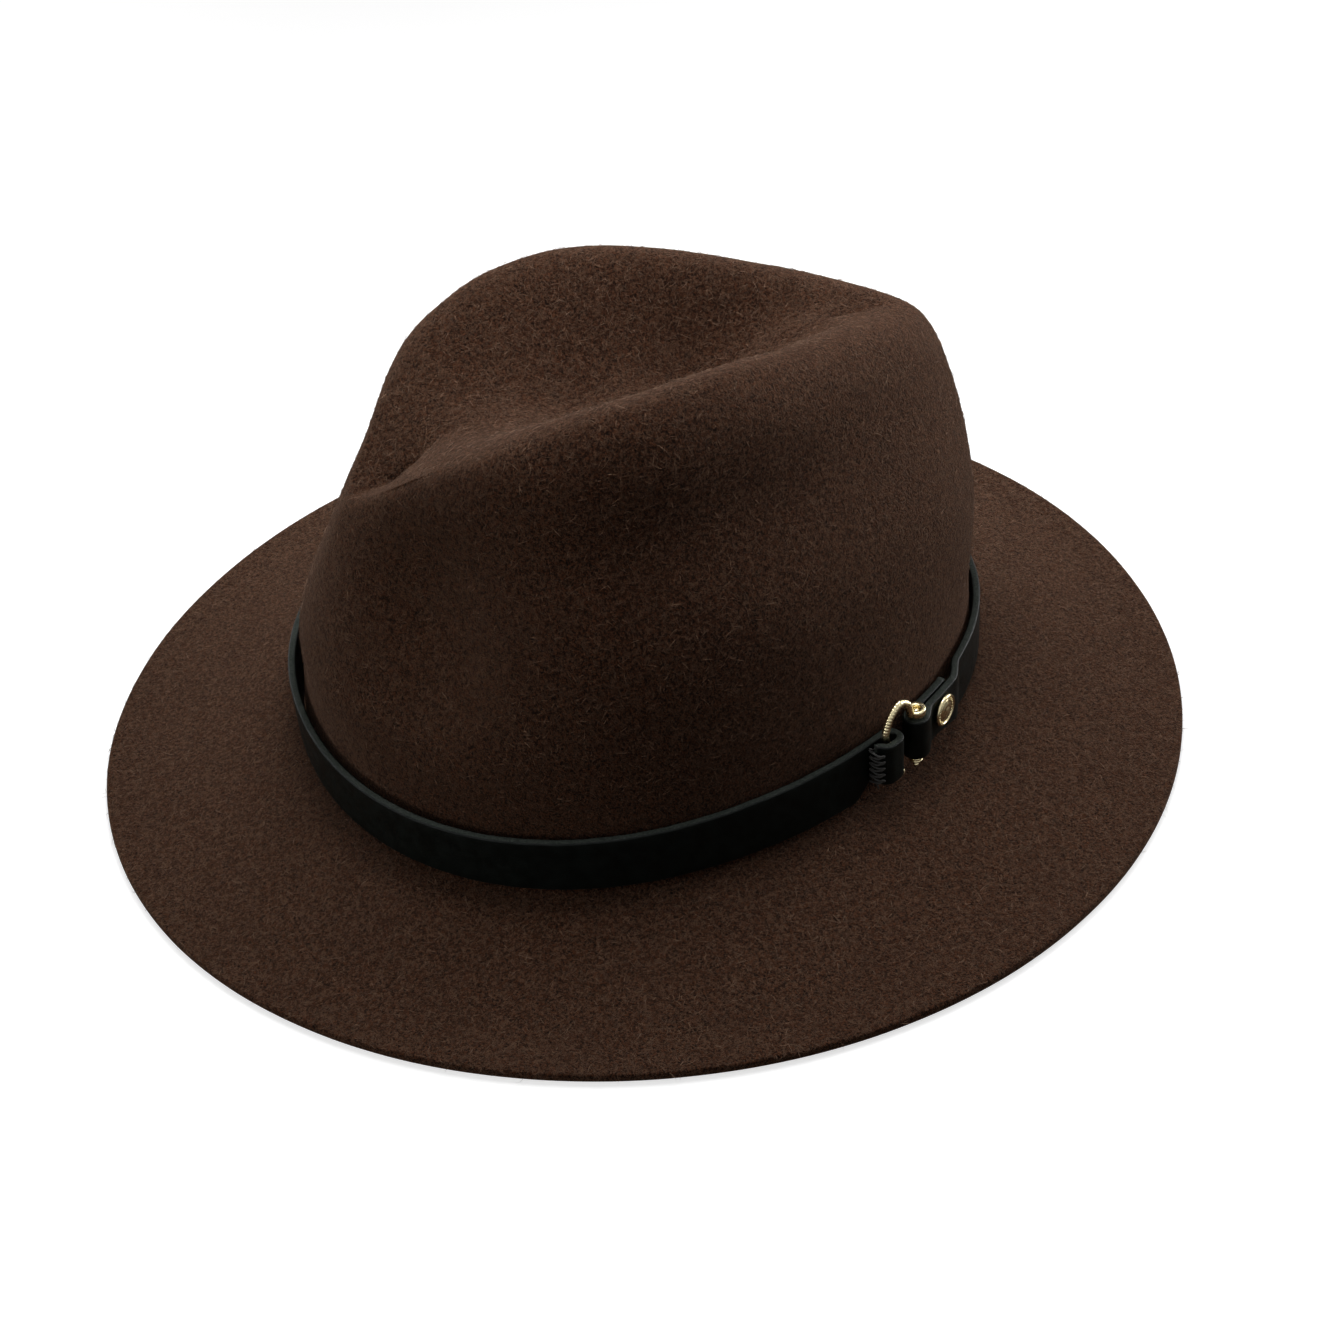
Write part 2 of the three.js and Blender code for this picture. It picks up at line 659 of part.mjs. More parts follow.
// The hoop's middle line: up through the left loop, over the top and down to the eye on the pin.
function hoopLine() {
  const eyeUp = loopTop + GAP + BAR / 2;
  const reach = PIN_SPACING - COLLAR_RADIUS - 0.4;
  return new THREE.CatmullRomCurve3([
    strapPlace(HOOP_TAIL, legTurn, loopBottom - 2.8),
    strapPlace(HOOP_TAIL - 2.4, legTurn, loopBottom - 2.7),
    strapPlace(LEG_SWING + 0.4, legTurn, loopBottom - 1.3),
    strapPlace(LEG_SWING, legTurn, loopBottom + 1),
    strapPlace(0, legTurn, (loopBottom + loopTop) / 2),
    strapPlace(-LEG_SWING, legTurn, loopTop - 1),
    strapPlace(-LEG_SWING, legTurn, loopTop + 2),
    strapPlace(1.2, legTurn, loopTop + HOOP_SHOULDER),
    strapPlace(4.6, (legTurn + pinTurn) / 2, loopTop + HOOP_RISE),
    strapPlace(8, pinTurn, loopTop + HOOP_SHOULDER),
    strapPlace(reach, pinTurn, eyeUp + 0.2),
  ]);
}

function hoop() {
  const line = hoopLine();
  const bar = solidOf(
    new THREE.ExtrudeGeometry(polygon(BAR / 2, 8), {
      steps: 30,
      bevelEnabled: false,
      extrudePath: line,
    }),
  );
  const tip = ball(BAR / 2, line.getPoint(0));
  const knuckle = ball(BAR / 2, line.getPoint(1));
  const hole = PIN_RADIUS + TURN_CLEARANCE;
  const eye = solidOf(
    lathe([
      [hole, -BAR / 2],
      [COLLAR_RADIUS + 0.6, -BAR / 2],
      [COLLAR_RADIUS + 0.9, 0],
      [COLLAR_RADIUS + 0.6, BAR / 2],
      [hole, BAR / 2],
      [hole, -BAR / 2],
    ], 20).applyMatrix4(placeOn(strapPlace(PIN_SPACING, pinTurn, loopTop + GAP + BAR / 2))),
  );
  const clearance = solidOf(
    lathe([
      [0, -BAR],
      [hole, -BAR],
      [hole, BAR],
      [0, BAR],
    ], 20).applyMatrix4(placeOn(strapPlace(PIN_SPACING, pinTurn, loopTop + GAP + BAR / 2))),
  );
  return geometryOf(bar.add(tip).add(knuckle).add(eye).subtract(clearance));
}

const placeOn = (place) => new THREE.Matrix4().makeTranslation(place);

const polygon = (radius, sides) =>
  new THREE.Shape(
    Array.from({ length: sides }, (_, k) => {
      const turn = (2 * Math.PI * k) / sides;
      return new THREE.Vector2(radius * Math.cos(turn), radius * Math.sin(turn));
    }),
  );

const ball = (radius, place) =>
  solidOf(new THREE.SphereGeometry(radius * 1.04, 12, 8).translate(place.x, place.y, place.z));

// A turned solid about +Z from pairs of radius and height, listed from the bottom up.
const lathe = (profile, sides) =>
  new THREE.LatheGeometry(
    profile.map(([r, z]) => new THREE.Vector2(r, z)),
    sides,
  ).rotateX(Math.PI / 2);

function solidOf(geometry) {
  const bare = geometry.clone();
  bare.deleteAttribute("normal");
  bare.deleteAttribute("uv");
  const merged = mergeVertices(bare, 1e-4);
  return new wasm.Manifold(
    new wasm.Mesh({
      numProp: 3,
      vertProperties: merged.getAttribute("position").array,
      triVerts: new Uint32Array(merged.index.array),
    }),
  );
}

function geometryOf(solid) {
  const mesh = solid.getMesh();
  return indexed(Array.from(mesh.vertProperties), Array.from(mesh.triVerts));
}

// The pin stands in the right loop, from the eye down to its tail; its collar is a separate ring.
function pinGroup() {
  const over = loopBottom - COLLAR_DROP; // top of the collar
  const under = over - COLLAR_HEIGHT;
  const tail = under - PIN_TAIL_LENGTH + 0.4;
  const top = loopTop + GAP + BAR * 0.75;
  const group = new THREE.Group();
  const shank = lathe([
    [0, tail],
    [PIN_TAIL_RADIUS - 0.2, tail],
    [PIN_TAIL_RADIUS, tail + 0.3],
    [PIN_TAIL_RADIUS, loopBottom],
    [PIN_RADIUS, loopBottom + 0.6],
    [PIN_RADIUS, top - 0.4],
    [PIN_RADIUS - 0.4, top],
    [0, top],
  ], 20);
  group.add(named("buckle_pin", shank, GOLD));
  const bore = PIN_TAIL_RADIUS + GAP;
  const collar = lathe([
    [bore, under],
    [COLLAR_RADIUS - 0.5, under],
    [COLLAR_RADIUS, under + 0.5],
    [COLLAR_RADIUS, over - 0.3],
    [COLLAR_RADIUS - 0.4, over],
    [bore, over],
    [bore, under],
  ], 20);
  group.add(named("pin_collar", collar, GOLD));
  group.position.copy(strapPlace(PIN_SPACING, pinTurn));
  return group;
}

// The domed stud: cap outside, post through both layers, washer against the felt side.
function studGroup() {
  const group = new THREE.Group();
  const face = lap + STRAP_THICKNESS / 2 + 0.15; // outer face of the curved outer layer
  const back = -STRAP_THICKNESS / 2 + 0.9; // the washer is let into the inner layer
  const cap = lathe([
    [0, face + GAP],
    [STUD_RADIUS, face + GAP],
    [STUD_RADIUS, face + GAP + 0.5],
    [STUD_RADIUS - 0.5, face + GAP + 1],
    [STUD_RADIUS - 1.1, face + GAP + 0.8],
    [STUD_RADIUS * 0.45, face + GAP + STUD_DOME],
    [0, face + GAP + STUD_DOME + 0.15],
  ], 24);
  group.add(named("stud_cap", cap, GOLD));
  const post = lathe([
    [0, back],
    [POST_RADIUS, back],
    [POST_RADIUS, face + GAP - 0.3],
    [0, face + GAP - 0.3],
  ], 16);
  group.add(named("stud_post", post, GOLD));
  const washer = lathe([
    [0, back - 0.9],
    [POST_RADIUS * 2, back - 0.9],
    [POST_RADIUS * 2, back - 0.3],
    [0, back - 0.3],
  ], 16);
  group.add(named("stud_washer", washer, GOLD));
  const out = strapNormal(STUD_PLACE);
  group.quaternion.setFromUnitVectors(vec(0, 0, 1), out);
  group.position.copy(strapPlace(STUD_PLACE, 0, studUp()));
  return group;
}

const studUp = () => (loopBottom + loopTop) / 2 + 1;

// Holes for the stud's post and washer, cut through the strap's two layers.
function strapWithHoles() {
  const bore = POST_RADIUS + TURN_CLEARANCE;
  const recess = POST_RADIUS * 2 + TURN_CLEARANCE;
  const back = -STRAP_THICKNESS / 2;
  const cutter = lathe([
    [0, back - 1],
    [recess, back - 1],
    [recess, back + 0.9],
    [bore, back + 0.9],
    [bore, lap + STRAP_THICKNESS],
    [0, lap + STRAP_THICKNESS],
  ], 16);
  const turn = new THREE.Quaternion().setFromUnitVectors(vec(0, 0, 1), strapNormal(STUD_PLACE));
  cutter.applyQuaternion(turn);
  cutter.applyMatrix4(placeOn(strapPlace(STUD_PLACE, 0, studUp())));
  return geometryOf(solidOf(strap()).subtract(solidOf(cutter)));
}

// Whip stitches that hold the left loop's folded end down, as one running thread.
function loopThread() {
  const stitches = 5;
  const low = loopBottom + 1.2;
  const high = loopTop - 1.2;
  const pitch = (high - low) / stitches;
  const clear = STRAP_THICKNESS / 2 + THREAD_RADIUS + GAP;
  const points = [];
  for (let i = 0; i <= stitches; i++) {
    const up = low + pitch * i;
    points.push(strapPlace(-LOOP_END - 1.3, clear, up));
    if (i === stitches) break;
    points.push(strapPlace(-LOOP_END - 0.9, lap + clear + 0.2, up + pitch * 0.3));
    points.push(strapPlace(-LOOP_END + 0.5, lap + clear + 1, up + pitch * 0.5));
    points.push(strapPlace(-LOOP_END - 0.9, lap + clear + 0.2, up + pitch * 0.7));
  }
  return new THREE.ExtrudeGeometry(polygon(THREAD_RADIUS, 6), {
    steps: 60,
    bevelEnabled: false,
    extrudePath: new THREE.CatmullRomCurve3(points),
  });
}

// ---- the assembly ----
function named(name, geometry, surface) {
  const mesh = new THREE.Mesh(geometry, surface.clone());
  mesh.name = name;
  return mesh;
}

const hat = new THREE.Group();
hat.add(
  named("felt_hood", feltHood(), FELT_BROWN),
  named("hatband_strap", strapWithHoles(), LEATHER),
  named("loop_thread", loopThread(), THREAD),
  named("buckle_hoop", hoop(), GOLD),
  pinGroup(),
  studGroup(),
  named("sweatband", sweatband(), LEATHER_BROWN),
  named("sweatband_reed", sweatbandReed(), REED),
  named("sweatband_stitching", sweatbandStitching(), THREAD),
  named("sweatband_join", sweatbandJoin(), RIBBON),
  named("size_tag", sizeTag(), PAPER),
  bowGroup(),
  named("lining_side", liningSide(), SATIN),
  named("lining_tip", liningTip(), SATIN),
  named("lining_piping", liningPiping(), RIBBON),
);

export default hat;
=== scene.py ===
"""A soft felt fedora with a teardrop crown, a buckled leather strap, a sweatband and a lining.

Shapes are worked out in millimetres and put into the meshes in metres. The wearer looks along
-Y, the wearer's left is +X, and the brim's edge rests on Z = 0. Angles round the hat start at
the front and grow towards the wearer's left.
"""

import math

import bpy
import numpy as np
from mathutils import Matrix, Vector


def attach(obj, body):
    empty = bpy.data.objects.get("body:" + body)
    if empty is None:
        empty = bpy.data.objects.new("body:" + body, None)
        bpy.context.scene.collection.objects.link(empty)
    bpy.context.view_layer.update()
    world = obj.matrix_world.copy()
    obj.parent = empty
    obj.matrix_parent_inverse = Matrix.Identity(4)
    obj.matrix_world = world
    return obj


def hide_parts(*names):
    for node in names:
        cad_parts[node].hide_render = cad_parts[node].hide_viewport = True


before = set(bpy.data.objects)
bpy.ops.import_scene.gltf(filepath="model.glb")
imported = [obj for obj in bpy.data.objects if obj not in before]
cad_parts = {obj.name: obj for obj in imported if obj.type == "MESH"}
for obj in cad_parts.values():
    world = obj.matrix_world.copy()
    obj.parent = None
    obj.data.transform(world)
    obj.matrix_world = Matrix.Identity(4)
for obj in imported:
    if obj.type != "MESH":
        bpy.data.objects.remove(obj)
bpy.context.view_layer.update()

MM = 0.001

# ---- sizes in millimetres, shared with the solids ----
FELT = 2.6
CROWN_HALF_LENGTH = 197.6 / 2 + FELT
CROWN_HALF_WIDTH = 175.6 / 2 + FELT
HEAD_POWER = 2.08
HEAD_EGG = 0.104
HEAD_SHIFT = 1.7
BRIM_HALF_LENGTH = 161.6
BRIM_HALF_WIDTH = 156.9
BRIM_EGG = -0.038
BRIM_RISE = 6.9
BRIM_LAND = 0.16
BREAK_RADIUS = 2.2
WALL_FOOT = FELT + BRIM_RISE + BREAK_RADIUS

RIDGE_HEIGHT = 129
RIDGE_HALF_LENGTH = 80
RIDGE_HALF_WIDTH = 42.4
RIDGE_SHIFT = 4
RIDGE_EGG = 0.255
RIDGE_ENDS = 1.13
RIDGE_SIDES = 1.37
RIDGE_DROP = 0.00417
RIDGE_TILT = 2e-5
CREASE_DEPTH = 26
CREASE_REACH = 0.8
CREASE_RAMP = (0.9, 0.74)
PINCH_DEPTH, PINCH_HEIGHT, PINCH_ANGLE, PINCH_SPREAD = 10.7, 74.4, 36.2, (26, 17)
FLANK_DEPTH, FLANK_HEIGHT, FLANK_ANGLE, FLANK_SPREAD = 6.4, 97.8, 95, (16, 45)
BACK_FULLNESS = 3.4
FRONT_FULLNESS = 3
# The wall's outline, with one value each for the sides, the front and the back.
WALL_LEAN = (1.4, 0.6, 2.2)
WALL_UPRIGHT = (0.5, 0.27, 0.53)
WALL_SHOULDER = (14.5, 6, 24.4)

GAP = 0.35
STRAP_THICKNESS = 2.3
STRAP_HEIGHT = 16.4
STRAP_FLARE = 1.5
STRAP_LIFT = 4.6
STRAP_LOW = WALL_FOOT + GAP / 2
STRAP_CENTRE = GAP + STRAP_THICKNESS / 2
BUCKLE_ANGLE = 116.8

BAR = 2.3
HOOP_RISE = 8.6
HOOP_SHOULDER = 6.4
HOOP_TAIL = 5.6
LEG_SWING = 0.8
TURN_CLEARANCE = 0.35
PIN_SPACING = 12.2
PIN_RADIUS = 1.15
PIN_TAIL_RADIUS = 0.85
PIN_TAIL_LENGTH = 2.4
COLLAR_RADIUS = 1.9
COLLAR_HEIGHT = 1.5
COLLAR_DROP = 1.5
STUD_SPACING = 11.6
STUD_RADIUS = 4.8
STUD_DOME = 1.3
LEG_BORE = BAR / 2 + TURN_CLEARANCE
LEG_TURN = LEG_BORE + STRAP_THICKNESS / 2
PIN_TURN = PIN_RADIUS + TURN_CLEARANCE + STRAP_THICKNESS / 2
LAP = STRAP_THICKNESS + GAP
STUD_PLACE = PIN_SPACING + STUD_SPACING
INNER_END = STUD_PLACE + 6.5
LOOP_END = LEG_SWING + LEG_BORE + 2.7
RAMP = 10

LINING_OFFSET = FELT + 0.9
LINING_THICKNESS = 0.6
LINING_TIP_HEIGHT = 84
SWEATBAND_OFFSET = LINING_OFFSET + LINING_THICKNESS + 1.6 * GAP
SWEATBAND_THICKNESS = 1
INSIDE_OFFSET = SWEATBAND_OFFSET + SWEATBAND_THICKNESS + 1.6 * GAP
SWEATBAND_LOW = FELT + BRIM_RISE
SWEATBAND_TOP = SWEATBAND_LOW + 34
CORD_RADIUS = 0.8
THREAD_RADIUS = 0.35


# ---- curves and surfaces of the felt ----
def signed_power(value, power):
    return np.sign(value) * np.abs(value) ** power


def bell(value, middle, width):
    return np.exp(-(((value - middle) / width) ** 2))


def smooth(value):
    """0 below 0, 1 above 1, and 3v^2 - 2v^3 between."""
    v = np.clip(value, 0, 1)
    return v * v * (3 - 2 * v)


def stack(x, y, z):
    return np.stack(np.broadcast_arrays(x, y, z), axis=-1).astype(float)


def unit(v):
    return v / np.maximum(np.linalg.norm(v, axis=-1, keepdims=True), 1e-12)


def bezier(a, b, c, d, v):
    """Cubic Bezier points: (1-v)^3 a + 3v(1-v)^2 b + 3v^2(1-v) c + v^3 d."""
    v = np.asarray(v)[..., None]
    w = 1 - v
    return a * w**3 + 3 * b * v * w**2 + 3 * c * v**2 * w + d * v**3


def oval(angle, half_length, half_width, shift, power, egg):
    """A superellipse in plan whose width grows by egg towards the front."""
    c, s = np.cos(angle), np.sin(angle)
    x = half_width * signed_power(s, 2 / power) * (1 + egg * c)
    return x, shift - half_length * signed_power(c, 2 / power)


def crown_oval(angle, grow=0.0):
    return oval(angle, CROWN_HALF_LENGTH + grow, CROWN_HALF_WIDTH + grow, HEAD_SHIFT, HEAD_POWER, HEAD_EGG)


def around(angle, side, front, back):
    """side at the sides, front or back at the ends, by the square of the cosine."""
    c = np.cos(angle)
    return side * (1 - c * c) + np.where(c > 0, front, back) * c * c


def ridge(angle):
    """The closed teardrop ridge: powers of the sine and cosine in plan, z falling with y squared."""
    c, s = np.cos(angle), np.sin(angle)
    x = RIDGE_HALF_WIDTH * signed_power(s, RIDGE_SIDES) * (1 + RIDGE_EGG * c)
    y = RIDGE_SHIFT - RIDGE_HALF_LENGTH * signed_power(c, RIDGE_ENDS)
    return stack(x, y, RIDGE_HEIGHT - RIDGE_DROP * y * y + RIDGE_TILT * y**3)


def folded_turn(angle):
    """Degrees from the front, 0 to 180 on either side."""
    turn = np.degrees(angle) % 360
    return np.where(turn > 180, 360 - turn, turn)


def dent(angle, z):
    """Depth of the long hollow under the ridge and of the finger pinch, both bells in z and turn."""
    turn = folded_turn(angle)
    flank = FLANK_DEPTH * bell(z, FLANK_HEIGHT, FLANK_SPREAD[0]) * bell(turn, FLANK_ANGLE, FLANK_SPREAD[1])
    pinch = PINCH_DEPTH * bell(z, PINCH_HEIGHT, PINCH_SPREAD[0]) * bell(turn, PINCH_ANGLE, PINCH_SPREAD[1])
    return flank + pinch


def fullness(angle, z):
    """How far the crown swells outwards above the strap, at its back and its front."""
    c = np.cos(angle)
    above = z - STRAP_LOW - STRAP_HEIGHT
    rise = smooth((above - 3) / 28) * (1 - smooth((above - 31) / 50))
    front_rise = smooth(above / 20) * (1 - smooth((above - 22) / 45))
    back = BACK_FULLNESS * rise * np.maximum(0, -c) ** 2
    return back + FRONT_FULLNESS * front_rise * np.maximum(0, c) ** 2


def outward(angle):
    x, y = crown_oval(angle)
    return unit(stack(x / CROWN_HALF_WIDTH, (y - HEAD_SHIFT) / CROWN_HALF_LENGTH, 0))


def wall(angle, v):
    """The crown's wall: a cubic Bezier from its foot up to the ridge, then dented along out."""
    angle, v = np.broadcast_arrays(np.asarray(angle, float), np.asarray(v, float))
    out = outward(angle)
    top = ridge(angle)
    foot = stack(*crown_oval(angle), WALL_FOOT)
    lean = around(angle, *WALL_LEAN)
    rise = around(angle, *WALL_UPRIGHT) * (top[..., 2] - WALL_FOOT)
    shoulder = around(angle, *WALL_SHOULDER)
    low = foot - out * lean[..., None]
    low[..., 2] = WALL_FOOT + rise
    high = top + out * shoulder[..., None]
    point = bezier(foot, low, high, top, v)
    push = fullness(angle, point[..., 2]) - dent(angle, point[..., 2])
    return point + out * push[..., None]


def roof(angle, v):
    """From the ridge down to the valley's bottom on X = 0, level at both ends."""
    angle, v = np.broadcast_arrays(np.asarray(angle, float), np.asarray(v, float))
    edge = ridge(angle)
    end = np.abs(np.cos(angle)) ** RIDGE_ENDS
    depth = CREASE_DEPTH * smooth((1 - end) / np.where(np.cos(angle) > 0, *CREASE_RAMP))
    bottom = stack(0, edge[..., 1] * CREASE_REACH, edge[..., 2] - depth)
    near = edge + (bottom - edge) * 0.3
    near[..., 2] = edge[..., 2]
    low = bottom + (edge - bottom) * 0.45
    low[..., 2] = bottom[..., 2]
    return bezier(edge, near, low, bottom, v)


def brim(angle, u):
    """The brim's top: plan blends from the edge oval to the break, height climbs as u^1.5."""
    edge_x, edge_y = oval(angle, BRIM_HALF_LENGTH, BRIM_HALF_WIDTH, 0, 2, BRIM_EGG)
    foot_x, foot_y = crown_oval(angle, BREAK_RADIUS)
    climb = np.maximum(0, (u - BRIM_LAND) / (1 - BRIM_LAND)) ** 1.5
    x = edge_x + (foot_x - edge_x) * u
    return stack(x, edge_y + (foot_y - edge_y) * u, FELT + BRIM_RISE * climb)


def fillet(angle, u):
    """A quarter circle between brim and wall."""
    turn = u * np.pi / 2
    x, y = crown_oval(angle, BREAK_RADIUS * (1 - np.sin(turn)))
    return stack(x, y, WALL_FOOT - BREAK_RADIUS * np.cos(turn))


def wall_at(angle, z, offset):
    """The wall's point at height z, moved by offset along its normal; straight down below its foot."""
    angle, z, offset = np.broadcast_arrays(*(np.asarray(a, float) for a in (angle, z, offset)))
    height = np.maximum(z, WALL_FOOT)
    low, high = np.zeros(angle.shape), np.ones(angle.shape)
    for _ in range(24):
        middle = (low + high) / 2
        under = wall(angle, middle)[..., 2] < height
        low, high = np.where(under, middle, low), np.where(under, high, middle)
    step = 0.01
    along = wall(angle + step, low) - wall(angle - step, low)
    up = wall(angle, low + step) - wall(angle, np.maximum(0, low - step))
    point = wall(angle, low) + unit(np.cross(along, up)) * offset[..., None]
    point[..., 2] = np.where(z < WALL_FOOT, z, point[..., 2])
    return point


def waves(points, size, seed, count=24):
    """Smooth noise between about -1 and 1: a sum of sines in random directions, size mm apart."""
    own = np.random.default_rng(seed)
    direction = unit(own.normal(size=(count, 3))) * (2 * np.pi / size)
    direction *= own.uniform(0.6, 1.5, (count, 1))
    phase = own.uniform(0, 2 * np.pi, count)
    return np.sin(points @ direction.T + phase).sum(-1) * (1.4 / np.sqrt(count))


# ---- meshes ----
def grid_faces(rows, columns, closed=True, start=0, wrap_rows=False):
    """Quads of a grid whose rows are counted outwards, columns closing on themselves if closed."""
    r = np.arange(rows if wrap_rows else rows - 1)[:, None]
    c = np.arange(columns if closed else columns - 1)[None, :]
    r2, c2 = (r + 1) % rows, (c + 1) % columns
    quad = [r * columns + c, r * columns + c2, r2 * columns + c2, r2 * columns + c]
    return np.stack(np.broadcast_arrays(*quad), axis=-1).reshape(-1, 4) + start


def fan(ring, centre, turned=False):
    """Triangles from a closed ring of vertex numbers to a centre vertex."""
    after = np.roll(ring, -1)
    pair = (after, ring) if turned else (ring, after)
    return np.stack([*pair, np.full(len(ring), centre)], axis=-1)


def capped(rings, first, last):
    """Rings of points closed by one point at each end, as (points, face sets)."""
    rows, n = rings.shape[:2]
    count, ring = rows * n, np.arange(n)
    faces = [grid_faces(rows, n), fan(ring, count, turned=True), fan(count - n + ring, count + 1)]
    return np.vstack([rings.reshape(-1, 3), first, last]), faces


def add_piece(name, points, face_sets, material, body, slot, replaces=(), values=None):
    """Puts points (mm) and face sets into a smooth-shaded mesh and hands it to its CAD body."""
    face_sets = [np.asarray(f) for f in face_sets]
    points = np.asarray(points, float).reshape(-1, 3)
    mesh = bpy.data.meshes.new(name)
    mesh.vertices.add(len(points))
    mesh.vertices.foreach_set("co", (points * MM).astype(np.float32).ravel())
    corners = np.concatenate([f.ravel() for f in face_sets]).astype(np.int32)
    sizes = np.concatenate([np.full(len(f), f.shape[1]) for f in face_sets])
    mesh.loops.add(len(corners))
    mesh.loops.foreach_set("vertex_index", corners)
    mesh.polygons.add(len(sizes))
    starts = np.concatenate([[0], np.cumsum(sizes)[:-1]]).astype(np.int32)
    mesh.polygons.foreach_set("loop_start", starts)
    mesh.polygons.foreach_set("use_smooth", np.ones(len(sizes), bool))
    mesh.update(calc_edges=True)
    mesh.validate()
    for key, value in (values or {}).items():
        attribute = mesh.attributes.new(key, "FLOAT", "POINT")
        attribute.data.foreach_set("value", np.asarray(value, np.float32).ravel())
    piece = bpy.data.objects.new(name, mesh)
    bpy.context.scene.collection.objects.link(piece)
    mesh.materials.append(material)
    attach(piece, body)
    if replaces:
        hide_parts(*replaces)
    return piece


def through(points, per_span, closed=False):
    """A smooth curve through points: Catmull-Rom with knots spaced by the root of the distance."""
    p = np.asarray(points, float)
    if closed:
        p = np.vstack([p[-1:], p, p[:2]])
    else:
        p = np.vstack([2 * p[:1] - p[1:2], p, 2 * p[-1:] - p[-2:-1]])
    knot = np.concatenate([[0], np.cumsum(np.linalg.norm(np.diff(p, axis=0), axis=1) ** 0.5)])
    k0, k1, k2, k3 = (knot[i : len(p) - 3 + i, None] for i in range(4))
    u = np.linspace(0, 1, per_span, endpoint=False)
    t = (k1 + (k2 - k1) * u)[..., None]
    k0, k1, k2, k3 = (k[..., None] for k in (k0, k1, k2, k3))
    a, b, c, d = (p[i : len(p) - 3 + i, None] for i in range(4))
    ab = (a * (k1 - t) + b * (t - k0)) / (k1 - k0)
    bc = (b * (k2 - t) + c * (t - k1)) / (k2 - k1)
    cd = (c * (k3 - t) + d * (t - k2)) / (k3 - k2)
    abc = (ab * (k2 - t) + bc * (t - k0)) / (k2 - k0)
    bcd = (bc * (k3 - t) + cd * (t - k1)) / (k3 - k1)
    line = ((abc * (k2 - t) + bcd * (t - k1)) / (k2 - k1)).reshape(-1, p.shape[1])
    return line if closed else np.vstack([line, p[-2:-1]])


def even(line, count):
    """The same line at count points spaced evenly by length."""
    length = np.concatenate([[0], np.cumsum(np.linalg.norm(np.diff(line, axis=0), axis=1))])
    at = np.linspace(0, length[-1], count)
    return np.stack([np.interp(at, length, line[:, k]) for k in range(line.shape[1])], -1)


def tube(line, radius, sides, up, closed=False, bend=None):
    """Rings of radius(station, turn) about a line, with round ends unless it closes.

    Each ring's first axis is up made square to the line, its second is line x up. bend may
    change the ring's radii.
    """
    line = np.asarray(line, float)
    n = len(line)
    if closed:
        tangent = unit(np.roll(line, -1, axis=0) - np.roll(line, 1, axis=0))
    else:
        tangent = unit(np.gradient(line, axis=0))
    up = np.broadcast_to(up, line.shape)
    first = unit(up - tangent * (up * tangent).sum(-1, keepdims=True))
    second = np.cross(tangent, first)
    turn = np.linspace(0, 2 * np.pi, sides, endpoint=False)
    size = np.broadcast_to(np.asarray(radius, float).reshape(-1, 1), (n, sides)).copy()
    if bend is not None:
        size = size * bend(np.arange(n)[:, None] / (n - 1), turn[None, :])
    rings = (
        line[:, None]
        + first[:, None] * (size * np.cos(turn))[..., None]
        + second[:, None] * (size * np.sin(turn))[..., None]
    )
    if closed:
        return rings.reshape(-1, 3), [grid_faces(n, sides, wrap_rows=True)]
    caps = []
    for end, way in ((0, -1), (n - 1, 1)):
        for lift in (0.5, 0.87):
            share = math.sqrt(1 - lift * lift)
            middle = line[end] + tangent[end] * way * size[end].mean() * lift
            caps.append(middle + (rings[end] - line[end]) * share)
    rings = np.vstack([caps[1][None], caps[0][None], rings, caps[2][None], caps[3][None]])
    poles = [line[0] - tangent[0] * size[0].mean(), line[-1] + tangent[-1] * size[-1].mean()]
    return capped(rings, *poles)


def joined(parts):
    """Several (points, face sets) as one, with their vertex numbers moved along."""
    points, faces, start = [], [], 0
    for own_points, own_faces in parts:
        own_points = np.asarray(own_points, float).reshape(-1, 3)
        points.append(own_points)
        faces += [np.asarray(f) + start for f in own_faces]
        start += len(own_points)
    return np.vstack(points), faces


def copies(points, faces, places):
    """A small solid repeated: places is an array of 3x4 matrices that put it in place."""
    count, size = len(places), len(points)
    moved = np.einsum("kij,nj->kni", places[:, :, :3], points) + places[:, None, :, 3]
    start = (np.arange(count) * size)[:, None, None]
    return moved.reshape(-1, 3), [(f[None] + start).reshape(-1, f.shape[1]) for f in faces]


def turned(profile, place, axis, sides):
    """Rings of a lathe-turned surface: profile is (radius, height) pairs from the bottom up."""
    profile = np.asarray(profile, float)
    turn = np.linspace(0, 2 * np.pi, sides, endpoint=False)
    axis = unit(np.asarray(axis, float))
    aside = unit(np.cross([0.0, 0.0, 1.0], axis)) if abs(axis[2]) < 0.9 else np.array([1.0, 0, 0])
    other = np.cross(axis, aside)
    ring = aside * np.cos(turn)[:, None] + other * np.sin(turn)[:, None]
    return place + profile[:, 1, None, None] * axis + profile[:, 0, None, None] * ring


def turned_closed(profile, place, axis, sides):
    """A turned solid whose first and last profile points lie on the axis."""
    axis = unit(np.asarray(axis, float))
    first, last = (place + axis * profile[k][1] for k in (0, -1))
    return capped(turned(profile[1:-1], place, axis, sides), first, last)


def turned_ring(profile, place, axis, sides):
    """A turned ring: the closed profile doesn't reach the axis."""
    rings = turned(profile, place, axis, sides)
    return rings.reshape(-1, 3), [grid_faces(len(profile), sides, wrap_rows=True)]


